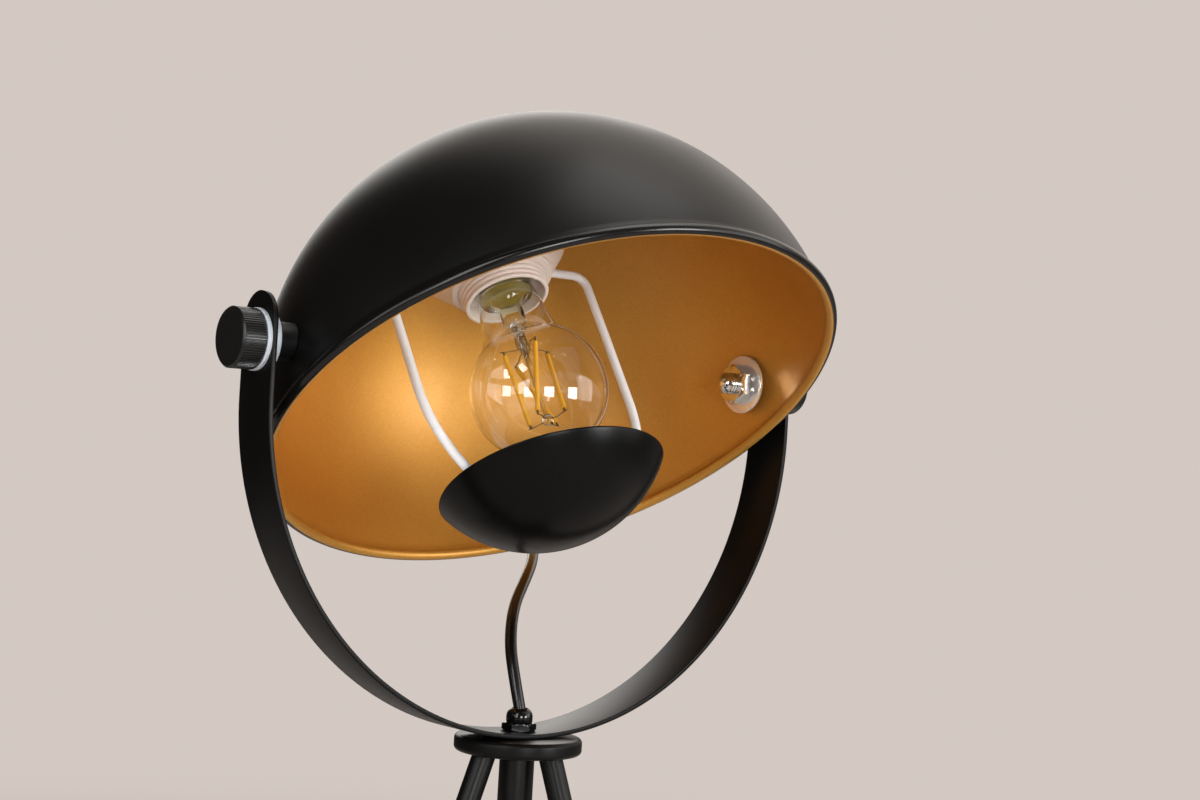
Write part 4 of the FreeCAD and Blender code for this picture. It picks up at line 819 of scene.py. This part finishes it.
def makeBowl():
    # The cap of a sphere with a small round at its edge, turned about its own axis.
    outer, wall = bowl["radius"], bowl["wall"]
    rimAngle = math.degrees(math.acos(bowl["rim"] / outer))
    lip = arc((0, 0), outer - wall / 2, rimAngle, rimAngle, 0)[0]
    profile = np.concatenate([
        arc((0, 0), outer, 90, rimAngle, 48),
        arc(lip, wall / 2, rimAngle, rimAngle - 180, 8)[1:-1],
        arc((0, 0), outer - wall, rimAngle, 90, 48),
    ])
    place = onHanger(-bowl["drop"], bowl["side"]) @ Matrix.Rotation(math.radians(180 + bowl["tilt"]), 4, "X")
    # the bowl gets the coat darkened as painted shade
    cap = lathe("glareCap", profile, place, "bowlBlack", 160, False, 60)
    settle(cap, "shade", ["glare_cap"])


makeWireFrame()
makeBowl()
print("wire frame and bowl made")


holder = {
    "ring": {"front": 36.0, "length": 20.0, "mouth": 18.4, "mouthBore": 17.2, "step": 8.0, "bore": 13.85,
             "radius": 20.4, "ribs": 4, "ribbed": 8.3, "ribDepth": 0.7, "ribLift": 0.7,
             "ripple": 0.16, "ripplePitch": 1.3, "rippleFrom": 0.9},
    "collar": {"front": 44.3, "length": 21.0, "mouth": 23.3, "nose": 1.2, "radius": 32.6, "slope": 12.8,
               "round": 2.0},
}


def makeHolder():
    # Each rib's radius is that of the straight line between its two valleys, raised by a round arch,
    # lift * sqrt(4 * t * (1 - t)). The mouth's wall is rippled as cosine rings.
    ring = holder["ring"]
    ribs = np.linspace(0, ring["ribs"], ring["ribs"] * 12 + 1)
    valleys = ring["mouth"] + (ring["radius"] - ring["mouth"]) * np.arange(ring["ribs"] + 1) / ring["ribs"]
    valleys[1:] -= ring["ribDepth"]
    part = ribs % 1
    ribRadius = np.interp(ribs, np.arange(len(valleys)), valleys)
    ribRadius += ring["ribLift"] * np.sqrt(4 * part * (1 - part))
    deep = np.linspace(ring["step"] - 0.4, ring["rippleFrom"], 48)
    wave = 0.5 - 0.5 * np.cos(2 * np.pi * (deep - ring["rippleFrom"]) / ring["ripplePitch"])
    rippled = ring["mouthBore"] - ring["ripple"] * wave
    wall = np.concatenate([
        [(ring["bore"], ring["step"]), (ring["mouthBore"] - 0.4, ring["step"])],
        np.stack([rippled, deep], 1),
        [(ring["mouthBore"], 0.3), (ring["mouthBore"] + 0.1, 0.1), (ring["mouthBore"] + 0.35, 0)],
        [(ring["mouth"] - 0.3, 0), (ring["mouth"] - 0.1, 0.05)],
        np.stack([ribRadius, ribs * ring["ribbed"] / ring["ribs"]], 1)[1:],
        [(ring["radius"], ring["ribbed"]), (ring["radius"], ring["length"]), (ring["bore"], ring["length"])],
    ])
    made = lathe("holderRing", wall, onHanger(ring["front"]), "beige", 128, True, 50)
    settle(made, "shade", ["holder_ring"])
    collar = holder["collar"]
    bore, nose = ring["radius"] + 0.05, collar["nose"]
    profile = filleted([
        (bore, 0), (collar["mouth"], 0, nose), (collar["mouth"], nose * 1.5, 0.2),
        (collar["radius"], collar["slope"], 1.0), (collar["radius"], collar["length"], collar["round"]),
        (bore, collar["length"]),
    ], 6)
    made = lathe("holderCollar", profile, onHanger(collar["front"]), "beige", 128, True, 50)
    settle(made, "shade", ["holder_collar"])


makeHolder()
print("lampholder made")


bulb = {
    "radius": 30.0, "drop": 12.2, "waist": 14.8, "flare": 28.0, "wall": 0.7, "neck": 12.5, "neckFrom": 41.0,
    "neckTo": 47.0, "filamentRadius": 1.0, "filamentTop": 6.8, "filamentFoot": -24.8, "topRing": 10.5,
    "footRing": 8.5, "topTurn": 80, "footTurn": 28, "pinchFrom": 8.8, "pinchTo": 20.8, "ball": 2.6,
    "ballMiddle": -26.5, "rod": 1.1, "tube": 5.2, "flareFrom": 31.6, "cement": 38.1, "wire": 0.2,
    "tab": 0.36,
}


def glassOutline(wall):
    # The globe's arc, the hollow arc that touches it, and the neck, all moved in by the wall.
    radius, flare = bulb["radius"], bulb["flare"]
    flareX = bulb["waist"] + flare
    flareZ = math.sqrt((radius + flare) ** 2 - flareX ** 2)
    touch = math.degrees(math.atan2(flareZ, flareX))
    globe = arc((0, -bulb["drop"]), radius - wall, -90, touch, 56)
    hollow = arc((flareX, flareZ - bulb["drop"]), flare + wall, 180 + touch, 180, 26)[1:]
    neck = np.array([(bulb["neck"] - wall, bulb["neckFrom"]), (bulb["neck"] - wall, bulb["neckTo"])])
    return np.concatenate([globe, hollow, neck])


def makeBulbGlass():
    profile = np.concatenate([glassOutline(0), glassOutline(bulb["wall"])[::-1]])
    glass = lathe("bulbGlass", profile, onHanger(0), "glass", 128, False, 60)
    settle(glass, "bulb", ["bulb_glass"])


def makeBulbStem():
    # An ellipse whose two half axes change with height: a ball, a rod, a flat crumpled pinch, a hollow
    # tube and its flare, where the outline turns back inside. The ripple of the pinch is a sine of angle and
    # height that dies out at both ends of it. The cement of the cap closes the flare.
    ball, low, rod, tube = bulb["ball"], bulb["ballMiddle"], bulb["rod"], bulb["tube"]
    pinch, end, flare = bulb["pinchFrom"], bulb["pinchTo"], bulb["flareFrom"]
    rows = [(r, r, z) for r, z in arc((0, low), ball, -90, 64, 16)]
    rows += [(rod, rod, low + 3.2), (rod, rod, 0), (rod, rod, pinch - 1.5), (1.6, 1.3, pinch - 0.6),
             (3.9, 1.6, pinch), (4.8, 1.8, pinch + 0.8)]
    rows += [(5.0 - 0.2 * t, 1.9 + 0.5 * t, pinch + 2 + (end - pinch - 3) * t) for t in np.linspace(0, 1, 24)]
    rows += [(5.0, 3.4, end), (tube, 4.6, end + 1), (tube, tube, end + 2), (tube, tube, flare)]
    rows += [(r, r, flare + up) for r, up in [
        (5.7, 2), (7.2, 4), (9.4, 5.4), (12.1, 6), (11.3, 12.4), (10.7, 12.4), (11.5, 7), (8.9, 6),
        (6.6, 4.2), (5.0, 2), (4.4, 0)]]
    rows += [(4.4, 4.4, end + 3), (3.4, 3.0, end + 1), (1.6, 1.4, end + 0.3), (0, 0, end)]
    wide, deep, height = np.array(rows).T
    angle = fullTurn(64)
    turn = math.radians(bulb["topTurn"] - 45)
    window = np.clip(np.minimum(height - pinch, end - height) / 2, 0, 1) * (wide > 4.4)
    ripple = window * (0.22 * np.sin(3 * angle + 2.1 * height) + 0.16 * np.sin(5 * angle - 3.3 * height))
    x, y = np.cos(angle) * (wide + ripple), np.sin(angle) * (deep + ripple)
    grid = np.stack([x * math.cos(turn) - y * math.sin(turn), x * math.sin(turn) + y * math.cos(turn),
                     height + 0 * angle], 2)
    finishes = ["stemGlass", "cement"]
    stem = gridObject("stem", placed(grid, onHanger(0)), True, False, 60, finishes)
    disc = [(0, 0.5), (4, 0.3), (8, 0), (11.4, 0.5), (11.2, 1.9), (0, 1.9)]
    plug = lathe("cement", disc, onHanger(bulb["cement"]), finishes, 64, False, 40, [1] * len(disc))
    settle(join("bulbStem", [stem, plug]), "bulb", ["bulb_stem"])


def around(radius, degrees, height):
    return np.append(arc((0, 0), radius, degrees, degrees, 0)[0], height)


def makeFilaments():
    # Four straight sticks lean from the lower ring of tabs to the upper one. An upper wire runs out of the
    # pinch almost level and a lower one straight from the ball, each to a little past the stick's metal tab.
    sticks, wires = [], []
    pinch, topRing, footRing = bulb["pinchFrom"], bulb["topRing"], bulb["footRing"]
    low = bulb["filamentFoot"] - 1.6

    def rod(points, radius, material="supportWire", segments=10):
        points = placed(np.array(points), onHanger(0))
        return tubeAlong("rod", points, radius, (0.2, 1, 0.3), material, segments)

    for number in range(4):
        turn = bulb["topTurn"] + 90 * number
        top = around(topRing, turn, bulb["filamentTop"])
        wires.append(rod([
            around(2.6, turn + 12, pinch + 9), around(3.4, turn + 6, pinch + 4), around(3.0, turn, pinch + 1),
            around(5.0, turn + 8, pinch + 0.2), around(7.6, turn - 4, pinch + 0.6),
            around(topRing, turn, pinch - 0.1), around(topRing + 1.6, turn, pinch - 0.3)], bulb["wire"]))
        turn = bulb["footTurn"] + 90 * number
        foot = around(footRing, turn, bulb["filamentFoot"])
        wires.append(rod([
            around(bulb["ball"] * 0.6, turn, bulb["ballMiddle"]), around(4.5, turn + 5, low - 0.4),
            around(footRing, turn, low), around(footRing + 1.4, turn, low + 0.2)], bulb["wire"]))
        way = (top - foot) / np.linalg.norm(top - foot)
        sticks.append(rod(np.linspace(foot, top, 9), bulb["filamentRadius"], "phosphor", 16))
        for start, end in ((top - way * 0.3, top + way * 1.9), (foot + way * 0.3, foot - way * 1.7)):
            wires.append(rod(np.linspace(start, end, 3), bulb["tab"]))
    settle(join("bulbFilaments", sticks), "bulb", ["bulb_filaments"])
    settle(join("bulbWires", wires), "bulb", ["bulb_wires"])


makeBulbGlass()
makeBulbStem()
makeFilaments()
print("bulb made")


stand = {
    "discRadius": 27.5, "discThick": 7.0, "discRound": 2.0, "discBore": 5.05,
    "stemRadius": 7.5, "stemLength": 70.0, "stemBore": 6.25,
    "legRadius": 5.0, "legWall": 1.0, "legSplay": 18.6, "legRing": 16.0, "legTurn": 54.2,
    "footRadius": 6.5, "footGrip": 18.0, "footSole": 6.0,
}


def makeDisc(discUnder):
    edge, radius = stand["discRound"], stand["discRadius"]
    thick, bore = stand["discThick"], stand["discBore"]
    profile = filleted([(bore, 0, 0), (radius, 0, edge), (radius, thick, edge), (bore, thick, 0)], 8)
    # the disc gets the coat darkened as painted shade
    disc = lathe("topDisc", profile, shift(0, 0, discUnder), "strapBlack", 128, True, 60)
    settle(disc, "stand", ["top_disc"])


def makeStem(discUnder):
    radius, length, bore = stand["stemRadius"], stand["stemLength"], stand["stemBore"]
    profile = filleted([(bore, 0, 0.3), (radius, 0, 0.5), (radius, length, 0), (bore, length, 0)], 4)
    stem = lathe("stemTube", profile, shift(0, 0, discUnder - length), "blackCoat", 64, True, 60)
    settle(stem, "stand", ["stem_tube"])


def makeLegs(discUnder):
    # Along the leaning axis the outline's radius is turned about it. The top ring is moved along the axis
    # to meet the underside of the disc, and what would be under the floor is moved up to it.
    lean = math.radians(stand["legSplay"])
    reach = stand["legRing"] + discUnder * math.tan(lean)
    high = discUnder / math.cos(lean)
    sole, radius, wide = stand["footSole"], stand["legRadius"], stand["footRadius"]
    top, grip = sole + stand["footGrip"], radius + 0.05
    angle = fullTurn(48)[:, None]

    def tube(name, rows, outwards, material):
        rows = np.array(rows, float)
        axis = -outwards * math.sin(lean) + np.array([0, 0, math.cos(lean)])
        side = np.cross(axis, [0, 0, 1.0])
        side /= np.linalg.norm(side)
        ring = np.cos(angle) * side + np.sin(angle) * np.cross(axis, side)
        grid = outwards * reach + axis * rows[:, 1:] + ring * rows[:, :1]
        roof = rows[:, 1] >= high
        grid[:, roof] += axis * ((discUnder - grid[:, roof, 2:]) / axis[2])
        grid += axis * np.maximum(-grid[:, :, 2:] / axis[2], 0)
        return gridObject(name, grid, True, False, 50, material)

    for number in (1, 2, 3):
        outwards = around(1, stand["legTurn"] + 120 * (number - 1), 0)
        leg = tube("legTube%d" % number, [
            (radius - stand["legWall"], sole + 0.5), (radius - 0.3, sole), (radius, sole + 0.5),
            (radius, high / 2), (radius, high), (radius - stand["legWall"], high)], outwards, "blackCoat")
        settle(leg, "stand", ["leg_tube_%d" % number])
        foot = tube("footCap%d" % number, [
            (0, 0), (wide - 0.5, 0), (wide, 0.5), (wide, 3), (wide, 6), (wide, top - 0.8),
            (wide - 0.3, top - 0.25), (wide - 0.9, top), (grip, top), (grip, sole), (0, sole)],
            outwards, "rubber")
        settle(foot, "stand", ["foot_cap_%d" % number])


discUnder = pivot.z / mm - yoke["drop"] - yoke["outer"] - stand["discThick"]
makeDisc(discUnder)
makeStem(discUnder)
makeLegs(discUnder)
print("stand made")


gland = {"across": 13.0, "thick": 3.3, "bore": 2.9, "chamfer": 0.6, "radius": 5.7, "nose": 5.5, "mouth": 2.7,
         "seat": 0.21}


def makeGland():
    seat = pivot.z / mm - yoke["drop"] - yoke["outer"] + yoke["thick"] + gland["seat"]
    body = hexNut("glandBody", gland["across"], gland["thick"], gland["bore"], gland["chamfer"],
                  shift(0, 0, seat), "glandBlack")
    settle(body, "stand", ["gland_body"])
    profile = np.concatenate([
        [(gland["mouth"], 0), (gland["radius"] - 0.3, 0), (gland["radius"], 0.3)],
        arc((gland["radius"] - 4, gland["nose"] - 2.9), 4, 0, 62, 8),
        [(3.2, gland["nose"]), (gland["mouth"], gland["nose"] - 0.3)],
    ])
    nut = lathe("glandNut", profile, shift(0, 0, seat + gland["thick"]), "glandBlack", 64, True, 50)
    settle(nut, "stand", ["gland_nut"])


makeGland()
print("gland made")


kept = {
    "blackCoat": ["apex_cap_nut", "apex_lock_nut"],
    "zinc": ["stem_insert", "exit_nut", "support_tube"],
    "plasticBlack": ["stem_bush", "stem_relief", "switch_lower", "switch_upper", "switch_rocker",
                     "switch_reliefs", "plug_body", "plug_relief", "holder_cap"],
    "glandBlack": ["exit_gland", "coil_tie"],
    "cord": ["stem_cord"],
    "ceramic": ["holder_core"],
    "brass": ["screw_shell", "centre_contact", "terminals", "bulb_contact"],
    "nickel": ["bulb_base", "plug_pins"],
    "singleLead": ["holder_leads"],
    "knobBlack": ["bulb_insulator"],
}


def dressKept():
    for material, names in kept.items():
        for name in names:
            for slot in frame["nodes"][name].material_slots:
                slot.material = finish[material]


dressKept()
print("kept solids dressed")
